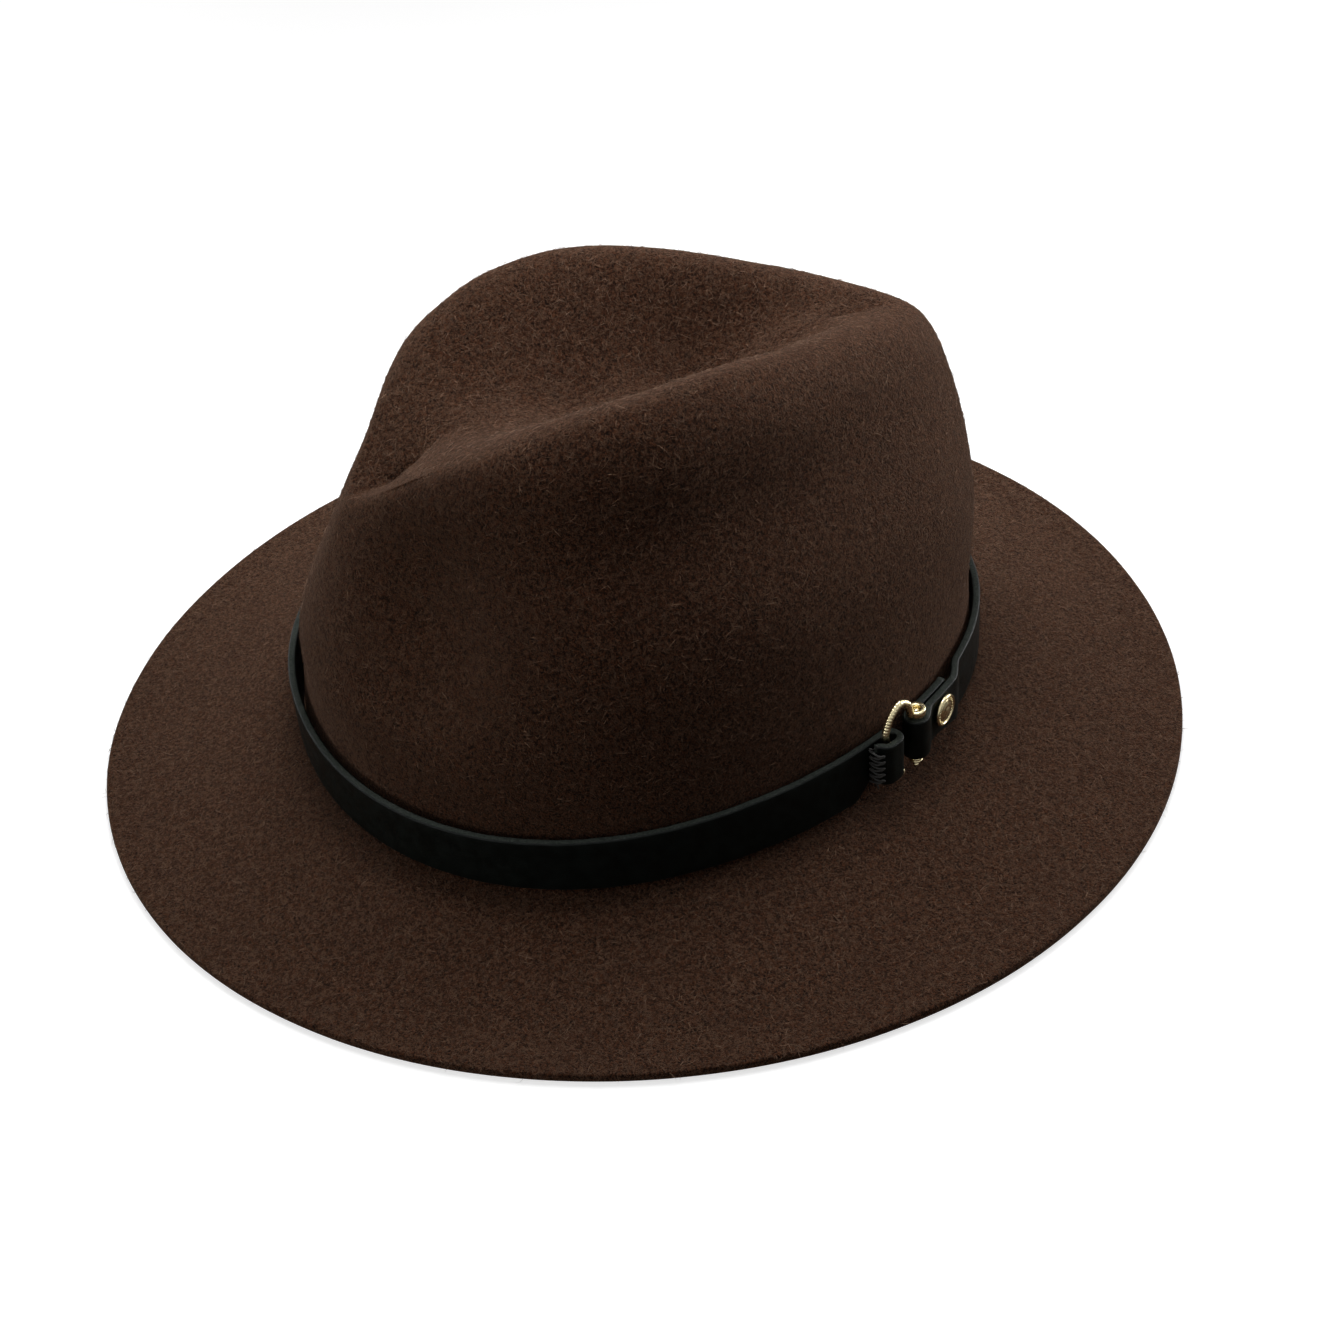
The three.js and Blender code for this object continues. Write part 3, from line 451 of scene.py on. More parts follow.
def rounded(corners, radius, steps=4):
    """A closed outline with each corner replaced by a short curve."""
    corners = np.asarray(corners, float)
    before = unit(np.roll(corners, 1, axis=0) - corners)
    after = unit(np.roll(corners, -1, axis=0) - corners)
    room = np.linalg.norm(np.roll(corners, -1, axis=0) - corners, axis=1)
    reach = np.minimum(radius, 0.48 * np.minimum(room, np.roll(room, 1)))[:, None]
    start, end = corners + before * reach, corners + after * reach
    u = np.linspace(0, 1, steps)[None, :, None]
    curve = start[:, None] * (1 - u) ** 2 + 2 * corners[:, None] * u * (1 - u) + end[:, None] * u**2
    return curve.reshape(-1, 2)


# ---- shader helpers ----
def fill(tree, socket, value):
    """Links a socket given as the value, or else sets the value itself."""
    if isinstance(value, bpy.types.NodeSocket):
        tree.links.new(value, socket)
    else:
        socket.default_value = value


def put(tree, kind, inputs=None, **settings):
    """A shader node with its settings and inputs; an input that is a socket gets linked."""
    made = tree.nodes.new(kind)
    for key, value in settings.items():
        setattr(made, key, value)
    for key, value in (inputs or {}).items():
        fill(tree, made.inputs[key], value)
    return made


def maths(tree, operation, a, b=0.0, clamp=False):
    return put(tree, "ShaderNodeMath", {0: a, 1: b}, operation=operation, use_clamp=clamp).outputs[0]


def times(tree, a, b):
    return maths(tree, "MULTIPLY", a, b)


def results(tree, node, **values):
    """Links a group's results by name."""
    for key, value in values.items():
        tree.links.new(value, node.inputs[key])
    return tree


def blended(tree, share, a, b):
    """Colour a where share is 0 and colour b where it is 1."""
    made = put(tree, "ShaderNodeMix", {0: share}, data_type="RGBA")
    for number, colour in ((6, a), (7, b)):
        fill(tree, made.inputs[number], (*colour, 1) if isinstance(colour, tuple) else colour)
    return made.outputs[2]


def spread(tree, value, low, high, to_low=0.0, to_high=1.0):
    """value's range from low to high, taken smoothly to another range."""
    return put(
        tree,
        "ShaderNodeMapRange",
        {"Value": value, "From Min": low, "From Max": high, "To Min": to_low, "To Max": to_high},
        interpolation_type="SMOOTHSTEP",
    ).outputs[0]


def noise(tree, vector, scale, detail=2.0, roughness=0.5, distortion=0.0):
    inputs = {"Vector": vector, "Scale": scale, "Detail": detail, "Roughness": roughness}
    return put(tree, "ShaderNodeTexNoise", inputs | {"Distortion": distortion}).outputs[0]


def group(name, inputs, outputs):
    """An empty node group with its sockets: (tree, input socket by name, output node)."""
    tree = bpy.data.node_groups.new(name, "ShaderNodeTree")
    for key, (kind, value) in inputs.items():
        socket = tree.interface.new_socket(key, in_out="INPUT", socket_type=kind)
        if value is not None:
            socket.default_value = value
    for key, kind in outputs.items():
        tree.interface.new_socket(key, in_out="OUTPUT", socket_type=kind)
    return tree, tree.nodes.new("NodeGroupInput").outputs, tree.nodes.new("NodeGroupOutput")


def use(tree, made, inputs):
    """A node group placed in a material with its own values."""
    placed = put(tree, "ShaderNodeGroup", node_tree=made)
    for key, value in inputs.items():
        fill(tree, placed.inputs[key], value)
    return placed.outputs


NUMBER, VECTOR = "NodeSocketFloat", "NodeSocketVector"


def fibre_group():
    """Matted fibres: fine mottling, and thin curly lines where noise passes its middle value."""
    tree, given, result = group(
        "matted_fibres",
        {"Vector": (VECTOR, None), "Scale": (NUMBER, 900.0)},
        {"Mottle": NUMBER, "Fibres": NUMBER, "Height": NUMBER},
    )
    at, scale = given["Vector"], given["Scale"]
    mottle = noise(tree, at, scale, 1.6, 0.55, 0.8)
    lines = []
    for factor, twist, width in ((0.55, 2.2, 0.05), (0.9, 1.4, 0.055)):
        curls = noise(tree, at, times(tree, scale, factor), 1.5, 0.5, twist)
        offset = maths(tree, "ABSOLUTE", maths(tree, "SUBTRACT", curls, 0.5))
        thin = spread(tree, offset, width, 0.0)
        broken = noise(tree, at, times(tree, scale, factor * 0.6), 1.0)
        lines.append(times(tree, thin, spread(tree, broken, 0.5, 0.62)))
    fibres = maths(tree, "MAXIMUM", *lines)
    clumps = noise(tree, at, times(tree, scale, 0.3), 3.0, 0.6)
    height = maths(tree, "ADD", mottle, times(tree, fibres, 0.5))
    height = maths(tree, "ADD", height, times(tree, clumps, 0.7))
    return results(tree, result, Mottle=mottle, Fibres=fibres, Height=height)


def grain_group():
    """Leather grain: flat pebbles parted by fine creases, with pores and broad soft stretch marks."""
    tree, given, result = group(
        "leather_grain",
        {"Vector": (VECTOR, None), "Scale": (NUMBER, 1400.0)},
        {"Pebble": NUMBER, "Crease": NUMBER, "Height": NUMBER},
    )
    at, scale = given["Vector"], given["Scale"]
    warp = put(tree, "ShaderNodeTexNoise", {"Vector": at, "Scale": times(tree, scale, 0.4)})
    bent = put(tree, "ShaderNodeVectorMath", {0: warp.outputs["Color"], 3: 0.0006}, operation="SCALE")
    moved = put(tree, "ShaderNodeVectorMath", {0: at, 1: bent.outputs[0]}, operation="ADD").outputs[0]
    cells = put(tree, "ShaderNodeTexVoronoi", {"Vector": moved, "Scale": scale}, feature="DISTANCE_TO_EDGE")
    crease = spread(tree, cells.outputs["Distance"], 0.14, 0.0)
    soft = noise(tree, at, times(tree, scale, 0.18), 3.0)
    pores = noise(tree, at, times(tree, scale, 2.2), 1.0)
    height = maths(tree, "SUBTRACT", soft, times(tree, crease, 0.5))
    height = maths(tree, "SUBTRACT", height, times(tree, spread(tree, pores, 0.62, 0.75), 0.4))
    return results(tree, result, Pebble=soft, Crease=crease, Height=height)


def weave_group():
    """Ribbed cloth: ridges across one axis, finer threads across the other, and slubs."""
    tree, given, result = group(
        "ribbed_weave",
        {"Vector": (VECTOR, None), "Ribs": (NUMBER, 1200.0), "Threads": (NUMBER, 2600.0)},
        {"Rib": NUMBER, "Thread": NUMBER, "Height": NUMBER},
    )
    at = given["Vector"]
    rib = put(tree, "ShaderNodeTexWave", {"Vector": at, "Scale": given["Ribs"], "Distortion": 0.4}, bands_direction="Z")
    thread = put(tree, "ShaderNodeTexWave", {"Vector": at, "Scale": given["Threads"], "Distortion": 0.8})
    slubs = noise(tree, at, 900.0, 2.0)
    height = maths(tree, "ADD", rib.outputs[1], times(tree, thread.outputs[1], 0.35))
    height = maths(tree, "ADD", height, times(tree, slubs, 0.5))
    return results(tree, result, Rib=rib.outputs[1], Thread=thread.outputs[1], Height=height)


matted_fibres = fibre_group()
leather_grain = grain_group()
ribbed_weave = weave_group()


def finish_of(made, colour, roughness, height=None, depth=0.0, strength=1.0, **constants):
    """A material's Principled BSDF: linked colour, roughness and bump, with the rest set on its sockets."""
    tree = made.node_tree
    shader = tree.nodes["Principled BSDF"]
    fill(tree, shader.inputs["Base Color"], colour)
    fill(tree, shader.inputs["Roughness"], roughness)
    if height is not None:
        bump = put(tree, "ShaderNodeBump", {"Height": height, "Distance": depth, "Strength": strength})
        tree.links.new(bump.outputs[0], shader.inputs["Normal"])
    for key, value in constants.items():
        shader.inputs[key.replace("_", " ").title().replace("Ior", "IOR")].default_value = value
    return made


def begin(name):
    """A new node material: (material, its tree, object coordinates)."""
    made = bpy.data.materials.new(name)
    made.use_nodes = True
    tree = made.node_tree
    return made, tree, put(tree, "ShaderNodeTexCoord").outputs["Object"]


def attribute(tree, name):
    return put(tree, "ShaderNodeAttribute", attribute_name=name).outputs["Fac"]


# ---- materials ----
def felt_material():
    """Brown fur felt: mottled, its darkest mottle partly painted shade between the fibres, with lighter fibres, soft
    handling shades and a fibre sheen.
    """
    made, tree, at = begin("brown_felt")
    fibres = use(tree, matted_fibres, {"Vector": at, "Scale": 1900.0})
    shade = noise(tree, at, 38.0, 3.0, 0.6)
    # Painted shade: the mottle runs from near black to brown. This is partly the felt's own mottled tone and partly
    # painted shade between the fibres.
    base = blended(tree, spread(tree, fibres["Mottle"], 0.38, 0.66), (0.0028, 0.0009, 0.0003), (0.0820, 0.0310, 0.0145))
    base = blended(tree, times(tree, spread(tree, shade, 0.35, 0.7), 0.22), base, (0.0250, 0.0088, 0.0045))
    light = times(tree, fibres["Fibres"], 0.7)
    base = blended(tree, light, base, (0.260, 0.130, 0.074))
    rough = spread(tree, fibres["Mottle"], 0.2, 0.8, 0.98, 0.88)
    return finish_of(
        made, base, rough, fibres["Height"], 0.0007, 1.0,
        specular_ior_level=0.08, sheen_weight=0.24, sheen_roughness=0.34, sheen_tint=(0.85, 0.55, 0.38, 1),
    )


def nap_material():
    """Loose felt fibres, each with its own shade from dark brown to tan."""
    made, tree, _ = begin("felt_fibre")
    shade = attribute(tree, "shade")
    colour = blended(tree, shade, (0.020, 0.0075, 0.0040), (0.420, 0.250, 0.160))
    return finish_of(made, colour, spread(tree, shade, 0.0, 1.0, 0.8, 0.6), specular_ior_level=0.25)


def strap_material():
    """Green-black leather: satin face, paler and rougher where it is cut."""
    made, tree, at = begin("green_black_leather")
    grain = use(tree, leather_grain, {"Vector": at, "Scale": 1500.0})
    cut = attribute(tree, "cut")
    face = blended(tree, grain["Pebble"], (0.0007, 0.0016, 0.0012), (0.0022, 0.0042, 0.0032))
    fluff = noise(tree, at, 1700.0, 4.0, 0.65)
    edge = blended(tree, spread(tree, fluff, 0.3, 0.7), (0.010, 0.013, 0.011), (0.040, 0.047, 0.040))
    ragged = maths(tree, "ADD", cut, times(tree, maths(tree, "SUBTRACT", fluff, 0.5), 0.5))
    share = spread(tree, ragged, 0.45, 0.7)
    colour = blended(tree, share, face, edge)
    rough_face = spread(tree, grain["Pebble"], 0.3, 0.7, 0.36, 0.5)
    rough = maths(tree, "ADD", rough_face, times(tree, share, 0.4))
    height = maths(tree, "ADD", grain["Height"], times(tree, times(tree, fluff, share), 1.6))
    return finish_of(made, colour, rough, height, 0.00012, 0.5, specular_ior_level=0.14)


def sweatband_material():
    """Brown sheepskin leather, with darker grain creases and a paler cut top edge."""
    made, tree, at = begin("brown_sheepskin")
    grain = use(tree, leather_grain, {"Vector": at, "Scale": 1100.0})
    tone = noise(tree, at, 22.0, 3.0)
    colour = blended(tree, grain["Pebble"], (0.050, 0.026, 0.014), (0.098, 0.054, 0.031))
    colour = blended(tree, times(tree, tone, 0.5), colour, (0.060, 0.033, 0.020))
    colour = blended(tree, times(tree, grain["Crease"], 0.6), colour, (0.028, 0.014, 0.008))
    colour = blended(tree, attribute(tree, "cut"), colour, (0.120, 0.085, 0.060))
    rough = spread(tree, grain["Pebble"], 0.3, 0.7, 0.42, 0.58)
    return finish_of(made, colour, rough, grain["Height"], 0.0002, 0.6, specular_ior_level=0.4)


def satin_material():
    """Dark brown satin: fine floats of thread, with gathers darker in their valleys."""
    made, tree, at = begin("lining_satin")
    weave = use(tree, ribbed_weave, {"Vector": at, "Ribs": 2200.0, "Threads": 3200.0})
    tone = noise(tree, at, 60.0, 3.0)
    colour = blended(tree, weave["Thread"], (0.030, 0.019, 0.013), (0.044, 0.029, 0.021))
    colour = blended(tree, spread(tree, tone, 0.3, 0.7), colour, (0.036, 0.024, 0.018))
    rough = spread(tree, weave["Rib"], 0.0, 1.0, 0.3, 0.4)
    return finish_of(
        made, colour, rough, weave["Height"], 0.00004, 0.5,
        sheen_weight=0.35, sheen_roughness=0.3, anisotropic=0.5,
    )


def ribbon_material():
    """Black-brown grosgrain ribbon with raised ribs."""
    made, tree, at = begin("grosgrain_ribbon")
    weave = use(tree, ribbed_weave, {"Vector": at, "Ribs": 420.0, "Threads": 1900.0})
    colour = blended(tree, weave["Rib"], (0.0060, 0.0048, 0.0040), (0.0200, 0.0165, 0.0140))
    rough = spread(tree, weave["Thread"], 0.0, 1.0, 0.5, 0.7)
    return finish_of(made, colour, rough, weave["Height"], 0.00015, 0.8, sheen_weight=0.2, sheen_roughness=0.4)


def thread_material(name, dark, light):
    """Waxed two-ply thread: twist lines by the piece's own twist value."""
    made, tree, at = begin(name)
    twist = attribute(tree, "twist")
    fuzz = noise(tree, at, 3000.0, 2.0)
    colour = blended(tree, spread(tree, twist, 0.1, 0.9), dark, light)
    colour = blended(tree, times(tree, fuzz, 0.3), colour, light)
    rough = spread(tree, fuzz, 0.2, 0.8, 0.55, 0.8)
    return finish_of(made, colour, rough, fuzz, 0.00004, 0.6)


def card_material():
    """Plain uncoated card with paper fibres."""
    made, tree, at = begin("uncoated_card")
    fibres = use(tree, matted_fibres, {"Vector": at, "Scale": 1600.0})
    colour = blended(tree, fibres["Mottle"], (0.52, 0.47, 0.38), (0.68, 0.63, 0.53))
    rough = spread(tree, fibres["Mottle"], 0.2, 0.8, 0.75, 0.9)
    return finish_of(made, colour, rough, fibres["Height"], 0.00005, 0.5)


def reed_material():
    """Milky plastic reed inside the sweatband's low edge."""
    made, tree, at = begin("milky_plastic")
    cloud = noise(tree, at, 240.0, 2.0)
    colour = blended(tree, cloud, (0.30, 0.28, 0.23), (0.46, 0.43, 0.36))
    return finish_of(made, colour, spread(tree, cloud, 0.3, 0.7, 0.3, 0.45), cloud, 0.00005, 0.4)


def gold_material():
    """Pale gold plating: light handling haze, fine scratches and darker recesses."""
    made, tree, at = begin("pale_gold")
    haze = noise(tree, at, 420.0, 4.0, 0.6)
    stretched = put(tree, "ShaderNodeMapping", {"Vector": at, "Scale": (1.0, 1.0, 9.0), "Rotation": (0.5, 0.3, 0.2)})
    scratch = noise(tree, stretched.outputs[0], 900.0, 2.0, 0.5, 0.3)
    colour = blended(tree, haze, (0.86, 0.72, 0.42), (0.94, 0.84, 0.54))
    rough = spread(tree, haze, 0.3, 0.75, 0.2, 0.32)
    height = maths(tree, "ADD", scratch, times(tree, haze, 0.6))
    return finish_of(made, colour, rough, height, 0.00003, 0.25, metallic=1.0)


felt = felt_material()
fibre = nap_material()
strap_leather = strap_material()
sweat_leather = sweatband_material()
satin = satin_material()
ribbon = ribbon_material()
dark_thread = thread_material("black_thread", (0.004, 0.004, 0.004), (0.030, 0.028, 0.025))
brown_thread = thread_material("brown_thread", (0.020, 0.012, 0.008), (0.085, 0.060, 0.042))
card = card_material()
reed = reed_material()
gold = gold_material()


# ---- the felt hood ----
COLUMNS = 288
EDGE_TURNS = (0, 22, 45, 68)  # degrees round the cut edge's upper corner
EDGE_ROWS = 1 + len(EDGE_TURNS)
BRIM_ROWS = 42
FILLET_ROWS = 4
WALL_ROWS = 74
ROOF_ROWS = 33
FOOT_ROW = EDGE_ROWS + BRIM_ROWS
RIDGE_ROW = FOOT_ROW + FILLET_ROWS + WALL_ROWS - 1


def hood_rows():
    """The felt's outer surface as rows from the middle of the cut edge to the valley's bottom."""
    angle = np.linspace(0, 2 * np.pi, COLUMNS, endpoint=False)
    corner = 0.7
    brim_width = 62.0
    rows = []
    for turn in np.radians(EDGE_TURNS):
        row = brim(angle, corner * (1 - np.cos(turn)) / brim_width)
        row[:, 2] = FELT - corner + corner * np.sin(turn)
        rows.append(row)
    edge = rows[0].copy()
    edge[:, 2] = FELT / 2
    rows.insert(0, edge)
    rows += [brim(angle, u) for u in np.linspace(corner / brim_width, 1, BRIM_ROWS)]
    rows += [fillet(angle, u) for u in (0.2, 0.4, 0.6, 0.8)]
    rows += [wall(angle, v) for v in np.linspace(0, 1, WALL_ROWS)]
    rows += [roof(angle, v) for v in np.linspace(0, 1, ROOF_ROWS + 1)[1:]]
    return np.array(rows)


def grid_normals(grid):
    """Unit normals of a grid that closes round the hat and is zipped along X = 0 at its last row.

    Each point averages the cross products round it, which weighs them by area, and a light
    blur along the rows steadies them at the two ends of the ridge.
    """
    n = grid.shape[1]
    mirrored = grid[-2][(n - np.arange(n)) % n]
    tall = np.concatenate([grid[:1] * 2 - grid[1:2], grid, mirrored[None]])
    total = 0
    for r in (0, 1):
        low, high = tall[r : r + len(grid)], tall[r + 1 : r + 1 + len(grid)]
        for way in (1, -1):
            along = (np.roll(low, -way, axis=1) - low) * way
            total = total + np.cross(along, high - low)
    for _ in range(3):
        total = total * 0.5 + (np.roll(total, 1, axis=1) + np.roll(total, -1, axis=1)) * 0.25
    return unit(total)


def handled(grid):
    """Soft unevenness left by blocking: low swells, held still where the strap lies."""
    free = 0.2 + 0.8 * smooth((grid[..., 2] - 34) / 20)
    swell = [0.2 * waves(grid, 60, 3 + k) + 0.05 * waves(grid, 21, 6 + k) for k in range(3)]
    swell = np.stack(swell, -1)
    swell[..., 2] *= smooth(grid[..., 2] / 12)
    return grid + swell * free[..., None]


def softened(grid):
    """Felt can't hold a knife edge: points near the ridge settle towards their neighbours' mean.

    The share falls off as a bell of rows from the ridge, and is greatest at its two ends.
    """
    n = grid.shape[1]
    rows = np.arange(len(grid))[:, None]
    angle = np.arange(n)[None, :] * 2 * np.pi / n
    ends = np.abs(np.cos(angle)) ** 6
    share = 0.5 * bell(rows, RIDGE_ROW, 3.0) + 0.5 * ends * bell(rows, RIDGE_ROW, 9.0)
    share = np.clip(share, 0, 0.5)[..., None]
    for _ in range(9):
        mirrored = grid[-2][(n - np.arange(n)) % n]
        before = np.concatenate([grid[:1], grid[:-1]])
        after = np.concatenate([grid[1:], mirrored[None]])
        grid = grid + ((before + after) / 2 - grid) * share
    return grid


def hood():
    """Outer and inner felt surfaces, joined round the cut edge and zipped along the valley."""
    plain = hood_rows()
    outer = handled(softened(plain))
    normals = grid_normals(outer)
    under = [row.copy() for row in outer[1:FOOT_ROW]]
    for k, row in enumerate(under):
        row[:, 2] = FELT - plain[k + 1][:, 2].min() if k < len(EDGE_TURNS) else row[:, 2] - FELT
    # The fold along the ridge is too tight for the full thickness, so the inner face follows closer.
    thick = FELT * (1 - 0.78 * bell(np.arange(len(outer)), RIDGE_ROW, 5.5))[FOOT_ROW:, None, None]
    inside = outer[FOOT_ROW:] - normals[FOOT_ROW:] * thick
    keep = np.r_[np.arange(0, len(inside) - 1, 2), len(inside) - 1]
    inner = np.array([*under[:EDGE_ROWS], *under[EDGE_ROWS::2], *inside[keep]])
    n = COLUMNS
    inner_start = len(outer) * n
    a = np.arange(n)
    b = (a + 1) % n
    faces = [
        grid_faces(len(outer), n),
        grid_faces(len(inner), n, start=inner_start)[:, ::-1],
        np.stack([b, a, inner_start + a, inner_start + b], -1),
    ]
    points = np.vstack([outer.reshape(-1, 3), inner.reshape(-1, 3)])
    renumber = np.arange(len(points))
    for first in (inner_start - n, len(points) - n):
        renumber[first + a] = first + np.minimum(a, (n - a) % n)
    faces = [renumber[f] for f in faces]
    used = np.unique(np.concatenate([f.ravel() for f in faces]))
    compact = np.full(len(points), -1)
    compact[used] = np.arange(len(used))
    quads = np.vstack([compact[f] for f in faces])
    doubled = (np.sort(quads, axis=1)[:, 1:] == np.sort(quads, axis=1)[:, :-1]).any(axis=1)
    three = [list(dict.fromkeys(q)) for q in quads[doubled].tolist()]
    three = np.array([q for q in three if len(q) == 3], int).reshape(-1, 3)
    return points[used], [quads[~doubled], three], outer, normals


hood_points, hood_faces, hood_grid, hood_normals = hood()
add_piece("hood_felt", hood_points, hood_faces, felt, "hat", "felt", ["felt_hood"])


# ---- the felt's nap ----
FIBRE_HALF = (0.03, 0.075)  # thinnest and thickest half width of a fibre
FIBRE_SIDES = 3
FIBRE_POINTS = 2 + 2 * FIBRE_SIDES


def scattered(own, count, grid, normals):
    """Points and normals strewn over a grid, the same number to every square millimetre."""
    columns = grid.shape[1]
    a, b = grid[:-1], np.roll(grid[:-1], -1, axis=1)
    d = grid[1:]
    area = np.linalg.norm(np.cross(b - a, d - a), axis=-1).ravel()
    cell = own.choice(len(area), count, p=area / area.sum())
    r, c = np.divmod(cell, columns)
    u, v = own.random((2, count, 1))
    c2 = (c + 1) % columns
    low = grid[r, c] * (1 - u) + grid[r, c2] * u
    high = grid[r + 1, c] * (1 - u) + grid[r + 1, c2] * u
    return low * (1 - v) + high * v, unit(normals[r, c] * (1 - v) + normals[r + 1, c] * v)


def nap(count, seed, first, last):
    """Loose fibres on rows first to last of the felt: slim closed spindles that bend as they rise.

    A fibre's middle line is p + d s + b s^2 + n h s, over s from 0 to 1, with d along the
    surface and n the normal; its three-sided rings narrow to a point at each end.
    """
    own = np.random.default_rng(seed)
    root, normal = scattered(own, count, hood_grid[first:last], hood_normals[first:last])
    aside = own.normal(size=(count, 3))
    aside = unit(aside - normal * (aside * normal).sum(-1, keepdims=True))
    other = np.cross(normal, aside)
    length = own.gamma(4.0, 0.42, (count, 1)) + 0.5
    curl = own.normal(0, 0.45, (count, 1)) * length
    rise = own.gamma(1.6, 0.10, (count, 1)) + 0.04
    half = own.uniform(*FIBRE_HALF, (count, 1))
    turns = 2 * np.pi * np.arange(FIBRE_SIDES) / FIBRE_SIDES
    section = other[:, None] * np.cos(turns)[:, None] + normal[:, None] * np.sin(turns)[:, None]
    rings = []
    for s, share in ((0.0, 0.0), (0.3, 1.0), (0.68, 0.85), (1.0, 0.0)):
        middle = root + aside * length * s + other * curl * s * s + normal * (rise * math.sin(s * 2.4) - 0.03)
        middle[:, 2] = np.maximum(middle[:, 2], 0.05)
        rings.append(middle[:, None] + section * (half * share)[:, None] if share else middle[:, None])
    points = np.concatenate(rings, axis=1)
    quads = np.array([[2, 5, 4, 1], [3, 6, 5, 2], [1, 4, 6, 3]])
    ends = np.array([[0, 2, 1], [0, 3, 2], [0, 1, 3], [7, 4, 5], [7, 5, 6], [7, 6, 4]])
    start = (np.arange(count) * FIBRE_POINTS)[:, None, None]
    # The strap's own band of the wall is left bare.
    clear = (root[:, 2] < STRAP_LOW - 1.5) | (root[:, 2] > STRAP_LOW + 23) | (first < FOOT_ROW)
    faces = [(f[None] + start)[clear].reshape(-1, f.shape[1]) for f in (quads, ends)]
    used = np.repeat(clear, FIBRE_POINTS)
    compact = np.cumsum(used) - 1
    shade = np.repeat(own.beta(1.4, 2.6, count), FIBRE_POINTS)
    return points.reshape(-1, 3)[used], [compact[f] for f in faces], shade[used]


WALL_ROW = FOOT_ROW + FILLET_ROWS - 1
for name, count, seed, first, last in (
    ("nap_brim", 15000, 11, 1, FOOT_ROW + 1),
    ("nap_crown", 15000, 12, WALL_ROW, RIDGE_ROW - 1),
    ("nap_top", 6000, 13, RIDGE_ROW - 2, len(hood_grid)),
):
    points, faces, shade = nap(count, seed, first, last)
    add_piece(name, points, faces, fibre, "hat", "felt", values={"shade": shade})


# ---- the strap ----
def strap_oval():
    """The strap's middle line in plan, as points and lengths, going round past its start."""
    angle = np.linspace(0, 2 * np.pi, 7201)
    line = np.stack(crown_oval(angle, STRAP_CENTRE), -1)
    length = np.concatenate([[0], np.cumsum(np.linalg.norm(np.diff(line, axis=0), axis=1))])
    return line, length


oval_line, oval_length = strap_oval()
STRAP_LENGTH = oval_length[-1]


def oval_at(length):
    length = np.asarray(length, float) % STRAP_LENGTH
    return np.stack([np.interp(length, oval_length, oval_line[:, k]) for k in range(2)], -1)


def angle_of(x, y):
    return np.degrees(np.arctan2(x, -y)) % 360


def buckle_start():
    """Length along the oval, in steps of a two-thousandth, where the buckle's leg stands."""
    length = np.arange(2000) / 2000 * STRAP_LENGTH
    return length[np.argmax(angle_of(*oval_at(length).T) >= BUCKLE_ANGLE)]


BUCKLE_START = buckle_start()


def strap_normal(along):
    """Outward direction in plan: the oval's tangent turned a quarter."""
    at = BUCKLE_START + np.asarray(along, float)
    tangent = unit(oval_at(at + 0.4) - oval_at(at - 0.4))
    return stack(tangent[..., 1], -tangent[..., 0], 0)


def strap_place(along, out, up=0.0):
    """A point by length from the buckle's leg, outward shift and height over the strap's low line."""
    flat = oval_at(BUCKLE_START + np.asarray(along, float))
    point = stack(flat[..., 0], flat[..., 1], STRAP_LOW + np.asarray(up, float))
    return point + strap_normal(along) * np.asarray(out, float)[..., None]


def strap_bottom(turn):
    past = turn - BUCKLE_ANGLE
    return STRAP_LIFT * smooth((past + 7) / 4) * (1 - smooth((past - 12) / 14))


def strap_top(turn):
    return STRAP_HEIGHT + STRAP_FLARE * bell(turn, BUCKLE_ANGLE - 3, 38)


def outer_layer(along):
    """Outward shift of the outer layer: over the inner layer's end, and up round the pin."""
    over_inner = LAP * (1 - smooth((along - INNER_END - 1) / RAMP))
    over_pin = (2 * PIN_TURN - LAP) * (1 - smooth((along - PIN_SPACING) / (STUD_SPACING - STUD_RADIUS)))
    return over_inner + over_pin


def strap_route():
    """The strap's middle line as (along, out) pairs, from the folded left end to the hidden right end."""
    fold = through([
        [-LOOP_END, LAP],
        [-LOOP_END + 1, LAP + 0.55],
        [-LOOP_END + 2.1, 2 * LEG_TURN - 0.5],
        [-LOOP_END + 3, 2 * LEG_TURN],
        [LEG_SWING, 2 * LEG_TURN],
    ], 6)[:-1]
    turn = np.linspace(np.pi / 2, -np.pi / 2, 22)
    left = np.stack([LEG_SWING + LEG_TURN * np.cos(turn), LEG_TURN + LEG_TURN * np.sin(turn)], -1)
    far = INNER_END + 1 + RAMP
    free = np.linspace(LEG_SWING - 1, far - STRAP_LENGTH + 1, 420)
    lapped = np.linspace(far, PIN_SPACING, 60)[:-1]
    turn = np.linspace(np.pi / 2, 3 * np.pi / 2, 22)
    right = np.stack([PIN_SPACING + PIN_TURN * np.cos(turn), PIN_TURN + PIN_TURN * np.sin(turn)], -1)
    hidden = np.linspace(PIN_SPACING + 1, INNER_END, 12)
    return np.vstack([
        fold,
        left,
        np.stack([free, 0 * free], -1),
        np.stack([lapped, outer_layer(lapped)], -1),
        right,
        np.stack([hidden, 0 * hidden], -1),
    ])


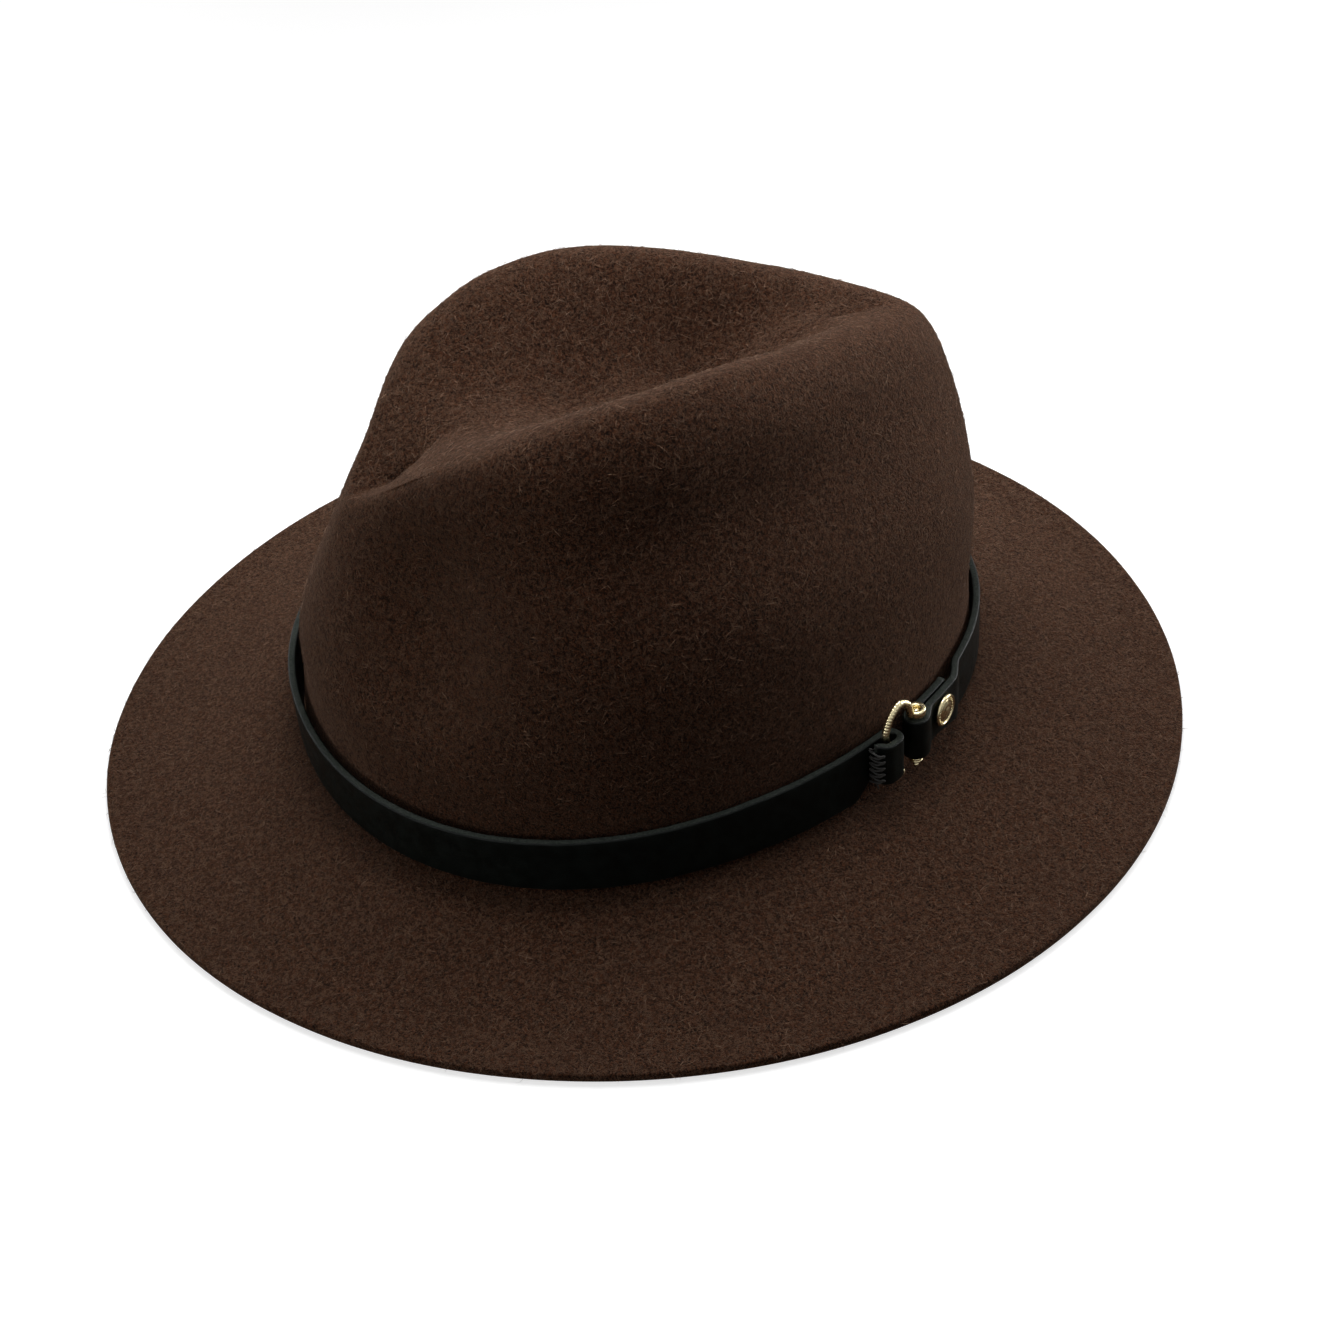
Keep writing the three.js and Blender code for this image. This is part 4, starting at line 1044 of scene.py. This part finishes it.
def strap():
    """The route stood up as leather: a closed outline with rounded corners, high rows outside first.

    Each station's outline is (thickness share, height share) pairs; its height runs between
    the strap's low and top lines at that point's own angle, so folded layers stay level.
    """
    route = strap_route()
    line = strap_place(route[:, 0], route[:, 1])[:, :2]
    tangent = unit(np.gradient(line, axis=0))
    side = np.stack([tangent[:, 1], -tangent[:, 0]], -1)
    half = STRAP_THICKNESS / 2
    corner, face = 0.5, 2.4
    arc = np.radians(np.linspace(0, 90, 6))
    bend = [(corner * (1 - math.cos(a)), corner * (1 - math.sin(a))) for a in arc]
    # (out, rise above the low line, drop below the top line): one of the last two is used.
    outline = [(half, k, None) for k in (corner, face)]
    outline += [(half, None, k) for k in (face, corner + 0.3)]
    outline += [(half - o, None, k) for o, k in bend]
    outline += [(0.35, None, -0.04), (-0.35, None, -0.04)]
    outline += [(-half + o, None, k) for o, k in bend[::-1]]
    outline += [(-half, None, face), (-half, face, None)]
    outline += [(-half + o, k, None) for o, k in bend]
    outline += [(half - o, k, None) for o, k in bend[:0:-1]]
    out = np.array([o[0] for o in outline])
    from_low = np.array([np.nan if o[1] is None else o[1] for o in outline])
    from_top = np.array([np.nan if o[2] is None else o[2] for o in outline])
    flat = line[:, None] + side[:, None] * out[None, :, None]
    turn = angle_of(flat[..., 0], flat[..., 1])
    low, top = STRAP_LOW + strap_bottom(turn), STRAP_LOW + strap_top(turn)
    z = np.where(np.isnan(from_low), top - from_top, low + from_low)
    points = np.dstack([flat, z])
    soft = 0.05 * waves(points, 14, 21) + 0.025 * waves(points, 4, 22)
    points[..., 2] += np.where(np.isnan(from_low), soft, soft * 0.6)
    # The cut faces of the edges and ends are marked, so that they take the raw leather's finish.
    bare = np.abs(out) < half - 0.42
    cut = np.tile(bare.astype(float), (len(points), 1))
    cut[[0, -1]] = 1
    points, faces = capped(points, points[0].mean(0), points[-1].mean(0))
    return points, [f[:, ::-1] for f in faces], np.concatenate([cut.ravel(), [1, 1]])


points, faces, cut = strap()
add_piece(
    "strap_hide", points, faces, strap_leather, "hat", "strap_leather",
    ["hatband_strap"], {"cut": cut},
)


# ---- thread, buckle and stud ----
LOOP_BOTTOM = strap_bottom(BUCKLE_ANGLE + 4)
LOOP_TOP = strap_top(BUCKLE_ANGLE + 4)


def thread_tube(line, radius, per_turn=0.9, sides=8):
    """A two-ply thread: the radius swells and narrows twice round, turning as it runs."""
    line = np.asarray(line, float)
    length = np.linalg.norm(np.diff(line, axis=0), axis=1).sum()
    turns = length / (2 * np.pi * radius * per_turn)

    def ply(along, turn):
        return 1 + 0.16 * np.cos(2 * turn + 2 * np.pi * turns * along)

    points, faces = tube(line, radius, sides, (0.0, 0.13, 0.99), bend=ply)
    stations = np.repeat(np.linspace(0, 1, len(points) // sides), sides)
    around_it = np.tile(2 * np.pi * np.arange(sides) / sides, len(stations) // sides)
    twist = 0.5 + 0.5 * np.cos(2 * around_it + 2 * np.pi * turns * stations)
    return points, faces, np.concatenate([twist, np.ones(len(points) - len(twist))])


def loop_stitches():
    """Five whip stitches over the left loop's folded end, with two short loose ends."""
    count = 5
    low, high = LOOP_BOTTOM + 1.2, LOOP_TOP - 1.2
    pitch = (high - low) / count
    clear = STRAP_THICKNESS / 2 + THREAD_RADIUS + GAP
    knots = []
    for i in range(count + 1):
        up = low + pitch * i
        knots.append((-LOOP_END - 1.3, clear, up))
        if i < count:
            knots.append((-LOOP_END - 0.9, LAP + clear + 0.2, up + pitch * 0.3))
            knots.append((-LOOP_END + 0.5, LAP + clear + 1, up + pitch * 0.5))
            knots.append((-LOOP_END - 0.9, LAP + clear + 0.2, up + pitch * 0.7))
    knots = np.array(knots)
    line = through(strap_place(*knots.T), 12)
    ends = []
    for first, last in (
        ((-LOOP_END - 1.3, clear, low), (-LOOP_END - 0.4, clear + 2.2, low - 1.9)),
        ((-LOOP_END - 1.3, clear, high), (-LOOP_END - 2.2, clear + 0.8, high + 1.7)),
        ((-LOOP_END - 1.2, clear, high - 0.1), (-LOOP_END - 0.2, clear + 1.6, high + 1.9)),
    ):
        middle = (np.array(first) + last) / 2 + (0.5, 0.5, 0.1)
        ends.append(through(strap_place(*np.array([first, middle, last]).T), 8))
    parts = [thread_tube(line, THREAD_RADIUS)] + [thread_tube(e, THREAD_RADIUS * 0.6) for e in ends]
    points, faces = joined([p[:2] for p in parts])
    return points, faces, np.concatenate([p[2] for p in parts])


points, faces, twist = loop_stitches()
add_piece("loop_stitches", points, faces, dark_thread, "hat", "dark_thread", ["loop_thread"], {"twist": twist})


def hoop_line():
    """The hoop's middle line: under the left loop, up through it, over the top and down to the eye."""
    up_to_eye = LOOP_TOP + GAP + BAR / 2
    reach = PIN_SPACING - COLLAR_RADIUS - 0.4
    knots = np.array([
        (HOOP_TAIL, LEG_TURN, LOOP_BOTTOM - 2.8),
        (HOOP_TAIL - 2.4, LEG_TURN, LOOP_BOTTOM - 2.7),
        (LEG_SWING + 0.4, LEG_TURN, LOOP_BOTTOM - 1.3),
        (LEG_SWING, LEG_TURN, LOOP_BOTTOM + 1),
        (0, LEG_TURN, (LOOP_BOTTOM + LOOP_TOP) / 2),
        (-LEG_SWING, LEG_TURN, LOOP_TOP - 1),
        (-LEG_SWING, LEG_TURN, LOOP_TOP + 2),
        (1.2, LEG_TURN, LOOP_TOP + HOOP_SHOULDER),
        (4.6, (LEG_TURN + PIN_TURN) / 2, LOOP_TOP + HOOP_RISE),
        (8, PIN_TURN, LOOP_TOP + HOOP_SHOULDER),
        (reach, PIN_TURN, up_to_eye + 0.2),
    ])
    return even(through(strap_place(*knots.T), 16), 230)


def hoop():
    """The bar, a little flattened, with a row of short plain notches on the arch's outer side."""
    line = hoop_line()
    out = strap_normal(PIN_SPACING / 2)[None]

    def shape(along, turn):
        # turn is measured from the hat's outward side; the arch's outer side is at a quarter turn.
        flat = 1 - 0.10 * np.cos(turn) ** 2
        outer = np.clip(np.sin(turn) * -1, 0, 1) ** 0.7
        arch = smooth((along - 0.52) / 0.05) * (1 - smooth((along - 0.93) / 0.04))
        groove = np.clip(np.cos(along * 2 * np.pi * 46), 0, 1) ** 3
        return flat * (1 - 0.20 * outer * arch * groove)

    bar = tube(line, BAR / 2, 28, out, bend=shape)
    hole = PIN_RADIUS + 0.12
    rim = COLLAR_RADIUS + 0.9
    outline = rounded([
        (hole, -BAR / 2), (rim - 0.1, -BAR / 2), (rim, 0), (rim - 0.1, BAR / 2), (hole, BAR / 2),
    ], 0.45, 5)
    eye = turned_ring(outline, strap_place(PIN_SPACING, PIN_TURN, LOOP_TOP + GAP + BAR / 2), (0, 0, 1), 56)
    return joined([bar, eye])


add_piece("hoop_bar", *hoop(), gold, "hoop", "gold_metal", ["buckle_hoop"])


PIN_FOOT = strap_place(PIN_SPACING, PIN_TURN)
OVER_COLLAR = LOOP_BOTTOM - COLLAR_DROP
UNDER_COLLAR = OVER_COLLAR - COLLAR_HEIGHT


def pin():
    """The pin: a thin tail with a groove, a shank, and a domed head above the eye."""
    tail = UNDER_COLLAR - PIN_TAIL_LENGTH + 0.4
    top = LOOP_TOP + GAP + BAR * 0.75
    slim, full = PIN_TAIL_RADIUS, PIN_RADIUS
    profile = [
        (0, tail - 0.05), (slim * 0.55, tail), (slim - 0.12, tail + 0.12), (slim, tail + 0.35),
        (slim, tail + 0.8), (slim - 0.18, tail + 0.95), (slim - 0.18, tail + 1.1), (slim, tail + 1.25),
        (slim, LOOP_BOTTOM), (full - 0.1, LOOP_BOTTOM + 0.5), (full, LOOP_BOTTOM + 0.7), (full, top - 0.75),
        (full - 0.1, top - 0.42), (full - 0.35, top - 0.2), (full * 0.5, top - 0.05), (0, top),
    ]
    return turned_closed(profile, PIN_FOOT, (0, 0, 1), 40)


def collar():
    """A ring with rounded lips and a shallow groove round its middle."""
    bore = PIN_TAIL_RADIUS + 0.15
    middle = (OVER_COLLAR + UNDER_COLLAR) / 2
    profile = rounded([
        (bore, UNDER_COLLAR), (COLLAR_RADIUS - 0.1, UNDER_COLLAR), (COLLAR_RADIUS, UNDER_COLLAR + 0.4),
        (COLLAR_RADIUS, middle - 0.2), (COLLAR_RADIUS - 0.18, middle), (COLLAR_RADIUS, middle + 0.2),
        (COLLAR_RADIUS, OVER_COLLAR - 0.4), (COLLAR_RADIUS - 0.1, OVER_COLLAR), (bore, OVER_COLLAR),
    ], 0.2, 4)
    return turned_ring(profile, PIN_FOOT, (0, 0, 1), 48)


add_piece("hinge_pin", *pin(), gold, "pin", "gold_metal", ["buckle_pin"])
add_piece("collar_ring", *collar(), gold, "pin", "gold_metal", ["pin_collar"])

STUD_FOOT = strap_place(STUD_PLACE, 0, (LOOP_BOTTOM + LOOP_TOP) / 2 + 1)


def stud():
    """The cap: a rolled rim, a ring of small beads, and a low dome with plain turned rings."""
    face = LAP + STRAP_THICKNESS / 2 + 0.15 + GAP
    r = STUD_RADIUS
    profile = [
        (0, face), (r - 0.25, face), (r - 0.05, face + 0.12), (r, face + 0.42), (r - 0.06, face + 0.75),
        (r - 0.3, face + 0.98), (r - 0.55, face + 1.0), (r - 0.78, face + 0.86), (r - 0.9, face + 0.66),
        (r - 1.35, face + 0.64), (r - 1.5, face + 0.78), (r - 1.7, face + 0.92), (r - 1.92, face + 0.8),
        (r - 2.05, face + 0.84), (r * 0.45, face + 1.08), (r * 0.36, face + 1.2), (r * 0.3, face + 1.12),
        (r * 0.24, face + 1.24), (r * 0.14, face + STUD_DOME + 0.1), (0, face + STUD_DOME + 0.15),
    ]
    cap = turned_closed(profile, STUD_FOOT, strap_normal(STUD_PLACE), 72)
    beads, bead_radius = 26, 0.22
    turn = 2 * np.pi * np.arange(beads) / beads
    axis = strap_normal(STUD_PLACE)
    aside = unit(np.cross([0.0, 0, 1], axis))
    ring = aside * np.cos(turn)[:, None] + np.cross(axis, aside) * np.sin(turn)[:, None]
    places = np.zeros((beads, 3, 4))
    places[:, :, :3] = np.eye(3)
    places[:, :, 3] = STUD_FOOT + axis * (face + 0.66) + ring * (r - 1.12)
    outline = [(0, -bead_radius), (0.15, -0.16), (bead_radius, 0), (0.15, 0.16), (0, bead_radius)]
    return joined([cap, copies(*turned_closed(outline, np.zeros(3), axis, 10), places)])


add_piece("stud_dome", *stud(), gold, "stud", "gold_metal", ["stud_cap"])
for hidden in ("stud_post", "stud_washer"):
    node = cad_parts[hidden]
    node.data.materials.clear()
    node.data.materials.append(gold)


# ---- inside the crown ----
INSIDE_COLUMNS = 240


def inside_angle(count=INSIDE_COLUMNS):
    return np.linspace(0, 2 * np.pi, count, endpoint=False)


def sweatband():
    """A leather band with a rolled low edge, a pressed line above it and a soft cut top edge."""
    outer, inner = SWEATBAND_OFFSET, SWEATBAND_OFFSET + SWEATBAND_THICKNESS
    low, top = SWEATBAND_LOW, SWEATBAND_TOP
    rise = np.linspace(low + 0.6, top - 0.6, 16)
    profile = [(z, outer) for z in rise]
    profile += [(top - 0.2, outer + 0.12), (top, outer + 0.4), (top, inner - 0.4), (top - 0.2, inner - 0.12)]
    face = np.sort(np.r_[rise, low + np.array([3.4, 3.0, 2.6, 2.0, 1.4, 0.9])])[::-1]
    profile += [(z, inner + 0.28 * bell(z, low + 1.4, 1.1) - 0.2 * bell(z, low + 3.0, 0.5)) for z in face]
    profile += [(low + 0.25, inner - 0.1), (low, inner - 0.4), (low, outer + 0.4), (low + 0.25, outer + 0.12)]
    z, inset = np.array(profile, float).T[..., None]
    angle = inside_angle()[None, :]
    lift = smooth((z - low - 8) / 24)
    soft = lift * (0.28 * np.sin(7 * angle + 0.6) + 0.16 * np.sin(16 * angle + 1.1))
    rings = wall_at(angle, z, -(inset + soft * 0.6))
    cut = np.zeros(rings.shape[:2])
    cut[len(rise) : len(rise) + 4] = 1
    return rings.reshape(-1, 3), [grid_faces(*rings.shape[:2], wrap_rows=True)], cut


points, faces, cut = sweatband()
add_piece(
    "sweatband_hide", points, faces, sweat_leather, "hat", "sweatband_leather",
    ["sweatband"], {"cut": cut},
)


def ring_cord(height, inset, radius, sides, columns=INSIDE_COLUMNS):
    """A round cord that follows the wall at one height."""
    line = wall_at(inside_angle(columns), height, -inset)
    return tube(line, radius, sides, (0, 0, 1), closed=True)


add_piece(
    "reed_cord",
    *ring_cord(SWEATBAND_LOW - GAP - CORD_RADIUS, SWEATBAND_OFFSET + SWEATBAND_THICKNESS / 2, CORD_RADIUS, 10),
    reed, "hat", "reed_plastic", ["sweatband_reed"],
)


def stitch_places(count, height, inset, tilt=0.0):
    """Matrices for stitches that lie along the wall at one height, each turned to its own spot."""
    angle = (np.arange(count) + 0.5) / count * 2 * np.pi
    middle = wall_at(angle, height, -inset)
    along = unit(wall_at(angle + 0.01, height, -inset) - wall_at(angle - 0.01, height, -inset))
    inward = unit(wall_at(angle, height, -inset - 1) - middle)
    up = np.cross(inward, along)
    along, up = along * math.cos(tilt) + up * math.sin(tilt), up * math.cos(tilt) - along * math.sin(tilt)
    return np.stack([along, up, inward, middle], axis=-1)


def stitches(places, length, radius):
    """One stitch is a short arched spindle, its two ends sunk below the surface."""
    s = np.linspace(-1, 1, 9)
    line = np.stack([s * length / 2, 0 * s, radius * (0.55 - 1.5 * s**4)], -1)
    points, faces = tube(line, radius * (1 - 0.25 * s**2), 6, (0.0, 1.0, 0.0))
    made, quads = copies(points, faces, places)
    twist = np.tile(0.5 + 0.5 * np.cos(points[:, 0] * 9), len(places))
    return made, quads, twist


SEAM = stitch_places(190, SWEATBAND_LOW + 3.0, INSIDE_OFFSET - 0.5)
points, faces, twist = stitches(SEAM, 2.5, THREAD_RADIUS)
add_piece("seam_stitches", points, faces, brown_thread, "hat", "dark_thread", ["sweatband_stitching"], {"twist": twist})


def ribbon_patch(start, end, low, top, inset, thickness, columns, rows, rib=0.0):
    """A patch of ribbon on the sweatband between two angles in degrees, with raised ribs up it."""
    angle = np.radians(np.linspace(start, end, columns))[None, :]
    z = np.linspace(low, top, rows)[:, None]
    ribs = rib * np.abs(np.sin((z - low) * np.pi / 1.15))
    back = wall_at(angle, z, -inset + 0 * z)
    front = wall_at(angle, z, -(inset + thickness * 0.7 + ribs))
    front_flat, back_flat = front.reshape(-1, 3), back.reshape(-1, 3)
    start_back = rows * columns
    number = np.arange(rows * columns).reshape(rows, columns)
    faces = [
        grid_faces(rows, columns, closed=False)[:, ::-1],
        grid_faces(rows, columns, closed=False, start=start_back),
    ]
    ring = np.concatenate([number[0, :-1], number[:-1, -1], number[-1, :0:-1], number[:0:-1, 0]])
    after = np.roll(ring, -1)
    faces.append(np.stack([ring, after, after + start_back, ring + start_back], -1))
    return np.vstack([front_flat, back_flat]), faces


add_piece(
    "join_ribbon",
    *ribbon_patch(176.5, 183.5, SWEATBAND_LOW + 5, SWEATBAND_TOP - 1, INSIDE_OFFSET - 0.35, 0.6, 12, 140, 0.16),
    ribbon, "hat", "ribbon", ["sweatband_join"],
)
add_piece(
    "blank_tag",
    *ribbon_patch(188, 198, SWEATBAND_TOP - 14, SWEATBAND_TOP - 4, INSIDE_OFFSET - 0.3, 0.4, 24, 16),
    card, "hat", "tag_card", ["size_tag"],
)

BOW_MIDDLE = wall_at(np.pi, SWEATBAND_LOW + 12, -(INSIDE_OFFSET + 0.6 + GAP))


def band(path, width, thickness):
    """A flat ribbon along a closed path in the (across, forward) plane; width is its height in Z.

    The section is a slim rectangle whose long side stands up: four rails round the path.
    """
    path = np.asarray(path, float)
    tangent = unit(np.roll(path, -1, axis=0) - np.roll(path, 1, axis=0))
    side = np.stack([tangent[:, 1], -tangent[:, 0]], -1)
    rails = []
    heights = (-1, -0.94, -0.5, 0, 0.5, 0.94, 1, 1, 0.94, 0.5, 0, -0.5, -0.94, -1)
    sides = (-0.4, -1, -1, -1, -1, -1, -0.4, 0.4, 1, 1, 1, 1, 1, 0.4)
    for h, k in zip(heights, sides):
        flat = path + side * (k * thickness / 2)
        rails.append(np.stack([flat[:, 0], -flat[:, 1], h * width / 2], -1))
    rings = np.stack(rails, axis=1)
    return rings.reshape(-1, 3), [grid_faces(*rings.shape[:2], wrap_rows=True)]


def bow():
    """Two ribbon loops that lie flat and flare from the knot, each a closed leaf in plan."""
    turn = np.linspace(0, 2 * np.pi, 60, endpoint=False)
    parts = []
    for way in (-1, 1):
        reach = (1 - np.cos(turn)) / 2
        across = way * (9.0 * reach + 0.25)
        forward = -0.15 + 0.52 * (1 + np.sin(turn) * np.sin(np.pi * np.clip(reach, 0.02, 1)) ** 0.5 * 0.9)
        width = 3.0 + 5.2 * reach**0.8
        points, faces = band(np.stack([across, forward], -1), width, 0.26)
        parts.append((points + BOW_MIDDLE, [f[:, ::-1] for f in faces]))
    return joined(parts)


def knot():
    """A ribbon wrapped once round the middle of the bow, pinched and creased."""
    corners = rounded([(-1.3, 0.15), (1.3, 0.15), (1.3, 1.75), (-1.3, 1.75)], 0.6, 6)
    heights = np.linspace(-2.2, 2.2, 15)
    pinch = 1 - 0.16 * np.cos(heights * np.pi / 4.4) ** 2
    crease = 1 + 0.04 * np.sin(heights * 5.2)
    rings = np.stack([
        np.stack([
            corners[:, 0] * p * c,
            -(0.95 + (corners[:, 1] - 0.95) * c + 0.35),
            np.full(len(corners), h),
        ], -1)
        for h, p, c in zip(heights, pinch, crease)
    ])
    points, faces = capped(rings, rings[0].mean(0), rings[-1].mean(0))
    return points + BOW_MIDDLE, [f[:, ::-1] for f in faces]


add_piece("bow_ribbon", *bow(), ribbon, "hat", "ribbon", ["bow_loops"])
add_piece("bow_wrap", *knot(), ribbon, "hat", "ribbon", ["bow_knot"])


# ---- the lining ----
def gathers(angle, z):
    """Soft folds that run up the lining and deepen towards its top seam, with one plain seam."""
    up = smooth((z - 34) / 46)
    folds = np.sin(62 * angle + 1.4 * np.sin(5 * angle)) * 0.55 + np.sin(29 * angle + 0.7) * 0.45
    seam = 0.5 * np.exp(-((np.degrees(angle) - 181.5) / 0.5) ** 2)
    return up * 0.42 * (1 + folds) + seam * 0.5


def lining_side():
    """The side piece: a thin band of satin from behind the sweatband up to the tip's seam."""
    z = np.linspace(SWEATBAND_TOP - 12, LINING_TIP_HEIGHT, 34)
    angle = inside_angle(720)
    outer = wall_at(angle[None], z[:, None], -LINING_OFFSET + 0 * z[:, None])
    inset = LINING_OFFSET + LINING_THICKNESS * 0.6 + gathers(angle[None], z[:, None])
    inner = wall_at(angle[None], z[:, None], -inset)
    rings = np.concatenate([outer, inner[::-1]])
    return rings.reshape(-1, 3), [grid_faces(*rings.shape[:2], wrap_rows=True)]


def lining_tip():
    """The flat top: it sags a little and is puckered round its rim."""
    angle = inside_angle(480)
    share = np.array([1, 0.985, 0.96, 0.92, 0.86, 0.78, 0.68, 0.56, 0.44, 0.32, 0.2, 0.1])
    inset = LINING_OFFSET + LINING_THICKNESS + GAP
    drop = LINING_TIP_HEIGHT - wall_at(angle, LINING_TIP_HEIGHT, -inset)[:, 2]
    rim = wall_at(angle, LINING_TIP_HEIGHT + drop, -inset)
    centre = np.array([0, HEAD_SHIFT, 0.0])
    flat = centre + (rim - centre)[None] * share[:, None, None]
    pucker = 0.32 * np.sin(62 * angle)[None] * np.exp(-(1 - share) / 0.05)[:, None]
    deepest = 1.1
    sag = deepest * (1 - share[:, None] ** 2)
    top, below = flat.copy(), flat.copy()
    top[..., 2] = LINING_TIP_HEIGHT + pucker - sag
    cloth = LINING_THICKNESS * 0.7
    below[..., 2] = top[..., 2] - cloth
    rows, n = flat.shape[:2]
    middle = LINING_TIP_HEIGHT - deepest
    points = np.vstack([
        top.reshape(-1, 3), below.reshape(-1, 3), [(0, HEAD_SHIFT, middle), (0, HEAD_SHIFT, middle - cloth)],
    ])
    start = rows * n
    a = np.arange(n)
    faces = [
        grid_faces(rows, n),
        grid_faces(rows, n, start=start)[:, ::-1],
        fan(start - n + a, 2 * start),
        fan(2 * start - n + a, 2 * start + 1, turned=True),
        np.stack([(a + 1) % n, a, start + a, start + (a + 1) % n], -1),
    ]
    return points, faces


add_piece("satin_side", *lining_side(), satin, "hat", "satin", ["lining_side"])
add_piece("satin_tip", *lining_tip(), satin, "hat", "satin", ["lining_tip"])


def piping():
    """A covered cord under the top seam, with the spiral ridges of its bias strip."""
    line = wall_at(
        inside_angle(720),
        LINING_TIP_HEIGHT - LINING_THICKNESS - GAP - CORD_RADIUS,
        -(LINING_OFFSET + LINING_THICKNESS + GAP + CORD_RADIUS),
    )
    return tube(
        line, CORD_RADIUS, 10, (0, 0, 1), closed=True,
        bend=lambda along, turn: 1 + 0.07 * np.cos(turn + along * 2 * np.pi * 240),
    )


add_piece("piping_cord", *piping(), ribbon, "hat", "ribbon", ["lining_piping"])


# ---- stage, light and camera ----
def stage_material():
    made, tree, at = begin("pale_floor")
    soft = noise(tree, at, 3.0, 2.0)
    seen = put(tree, "ShaderNodeLightPath").outputs["Is Camera Ray"]
    bright = blended(tree, soft, (0.60, 0.60, 0.60), (0.64, 0.64, 0.64))
    colour = blended(tree, seen, (0.14, 0.135, 0.13), bright)
    finish_of(made, colour, 0.9, specular_ior_level=0.1)
    shader = tree.nodes["Principled BSDF"]
    shader.inputs["Emission Color"].default_value = (1, 1, 1, 1)
    tree.links.new(times(tree, seen, 0.66), shader.inputs["Emission Strength"])
    # Seen from below the floor is clear, and light passes up through it, to show the hat's underside.
    clear = put(tree, "ShaderNodeBsdfTransparent").outputs[0]
    behind = put(tree, "ShaderNodeNewGeometry").outputs["Backfacing"]
    shadow = put(tree, "ShaderNodeLightPath").outputs["Is Shadow Ray"]
    open_share = maths(tree, "MAXIMUM", behind, shadow)
    mixed = put(tree, "ShaderNodeMixShader", {0: open_share, 1: shader.outputs[0], 2: clear})
    tree.links.new(mixed.outputs[0], tree.nodes["Material Output"].inputs["Surface"])
    return made


def floor():
    """A plain pale floor just under the brim's edge."""
    mesh = bpy.data.meshes.new("floor")
    size = 4.0
    z = -0.0004
    mesh.from_pydata([(-size, -size, z), (size, -size, z), (size, size, z), (-size, size, z)], [], [(0, 1, 2, 3)])
    made = bpy.data.objects.new("floor", mesh)
    bpy.context.scene.collection.objects.link(made)
    mesh.materials.append(stage_material())


def area_light(name, place, aim, width, depth, power):
    light = bpy.data.lights.new(name, "AREA")
    light.shape = "RECTANGLE"
    light.size, light.size_y, light.energy = width, depth, power
    made = bpy.data.objects.new(name, light)
    bpy.context.scene.collection.objects.link(made)
    made.location = place
    made.rotation_euler = (Vector(aim) - Vector(place)).to_track_quat("-Z", "Y").to_euler()


def light_below():
    """A beam up through the clear floor that lights the inside; it stops short of the brim's edge."""
    light = bpy.data.lights.new("below", "SPOT")
    light.energy, light.shadow_soft_size = 14, 0.06
    light.spot_size, light.spot_blend = math.radians(33), 0.1
    made = bpy.data.objects.new("below", light)
    bpy.context.scene.collection.objects.link(made)
    made.location, made.rotation_euler = (0, 0, -0.5), (math.pi, 0, 0)


def world_light():
    """An even white dome, brighter overhead than at the horizon."""
    world = bpy.data.worlds.new("studio")
    bpy.context.scene.world = world
    world.use_nodes = True
    tree = world.node_tree
    way = put(tree, "ShaderNodeTexCoord").outputs["Generated"]
    height = put(tree, "ShaderNodeSeparateXYZ", {0: way}).outputs[2]
    seen = put(tree, "ShaderNodeLightPath").outputs["Is Camera Ray"]
    shiny = put(tree, "ShaderNodeLightPath").outputs["Is Glossy Ray"]
    dome = spread(tree, height, 0.0, 1.0, 0.06, 0.19)
    dome = maths(tree, "MAXIMUM", dome, times(tree, shiny, 0.6))
    strength = maths(tree, "MAXIMUM", dome, seen)
    background = tree.nodes["Background"]
    background.inputs["Color"].default_value = (1, 1, 1, 1)
    tree.links.new(strength, background.inputs["Strength"])


def camera():
    """Looks from the wearer's front left and above, rolled a little, with the lens worked out in mm."""
    azimuth, elevation, roll = map(math.radians, (71.666, 37.851, -5.023))
    flat = math.cos(elevation)
    back = Vector((math.sin(azimuth) * flat, -math.cos(azimuth) * flat, math.sin(elevation)))
    right = Vector((math.cos(azimuth), math.sin(azimuth), 0))
    up = back.cross(right)
    side = right * math.cos(roll) + up * math.sin(roll)
    top = up * math.cos(roll) - right * math.sin(roll)
    distance, slide, drop, height = 644.865, 9.373, 23.208, 41.4
    place = back * distance + side * slide - top * drop + Vector((0, 0, height))
    data = bpy.data.cameras.new("camera")
    data.sensor_width, data.lens = 36, 59.733
    data.clip_start, data.clip_end = 0.05, 20
    made = bpy.data.objects.new("camera", data)
    bpy.context.scene.collection.objects.link(made)
    turn = Matrix((side, top, back)).transposed().to_4x4()
    made.matrix_world = Matrix.Translation(place * MM) @ turn
    bpy.context.scene.camera = made


floor()
world_light()
light_below()
area_light("overhead", (-0.10, 0.06, 0.43), (0, 0, 0.06), 0.3, 0.3, 1.9)
area_light("behind", (-0.05, 0.85, 0.19), (0, 0.05, 0.08), 0.5, 0.26, 4.8)
area_light("front", (0.12, -0.85, 0.2), (0, 0, 0.06), 0.5, 0.26, 1.8)
area_light("far side", (-0.75, -0.4, 0.2), (0, 0, 0.06), 0.4, 0.26, 1.2)
camera()
bpy.context.scene.view_settings.view_transform = "Standard"
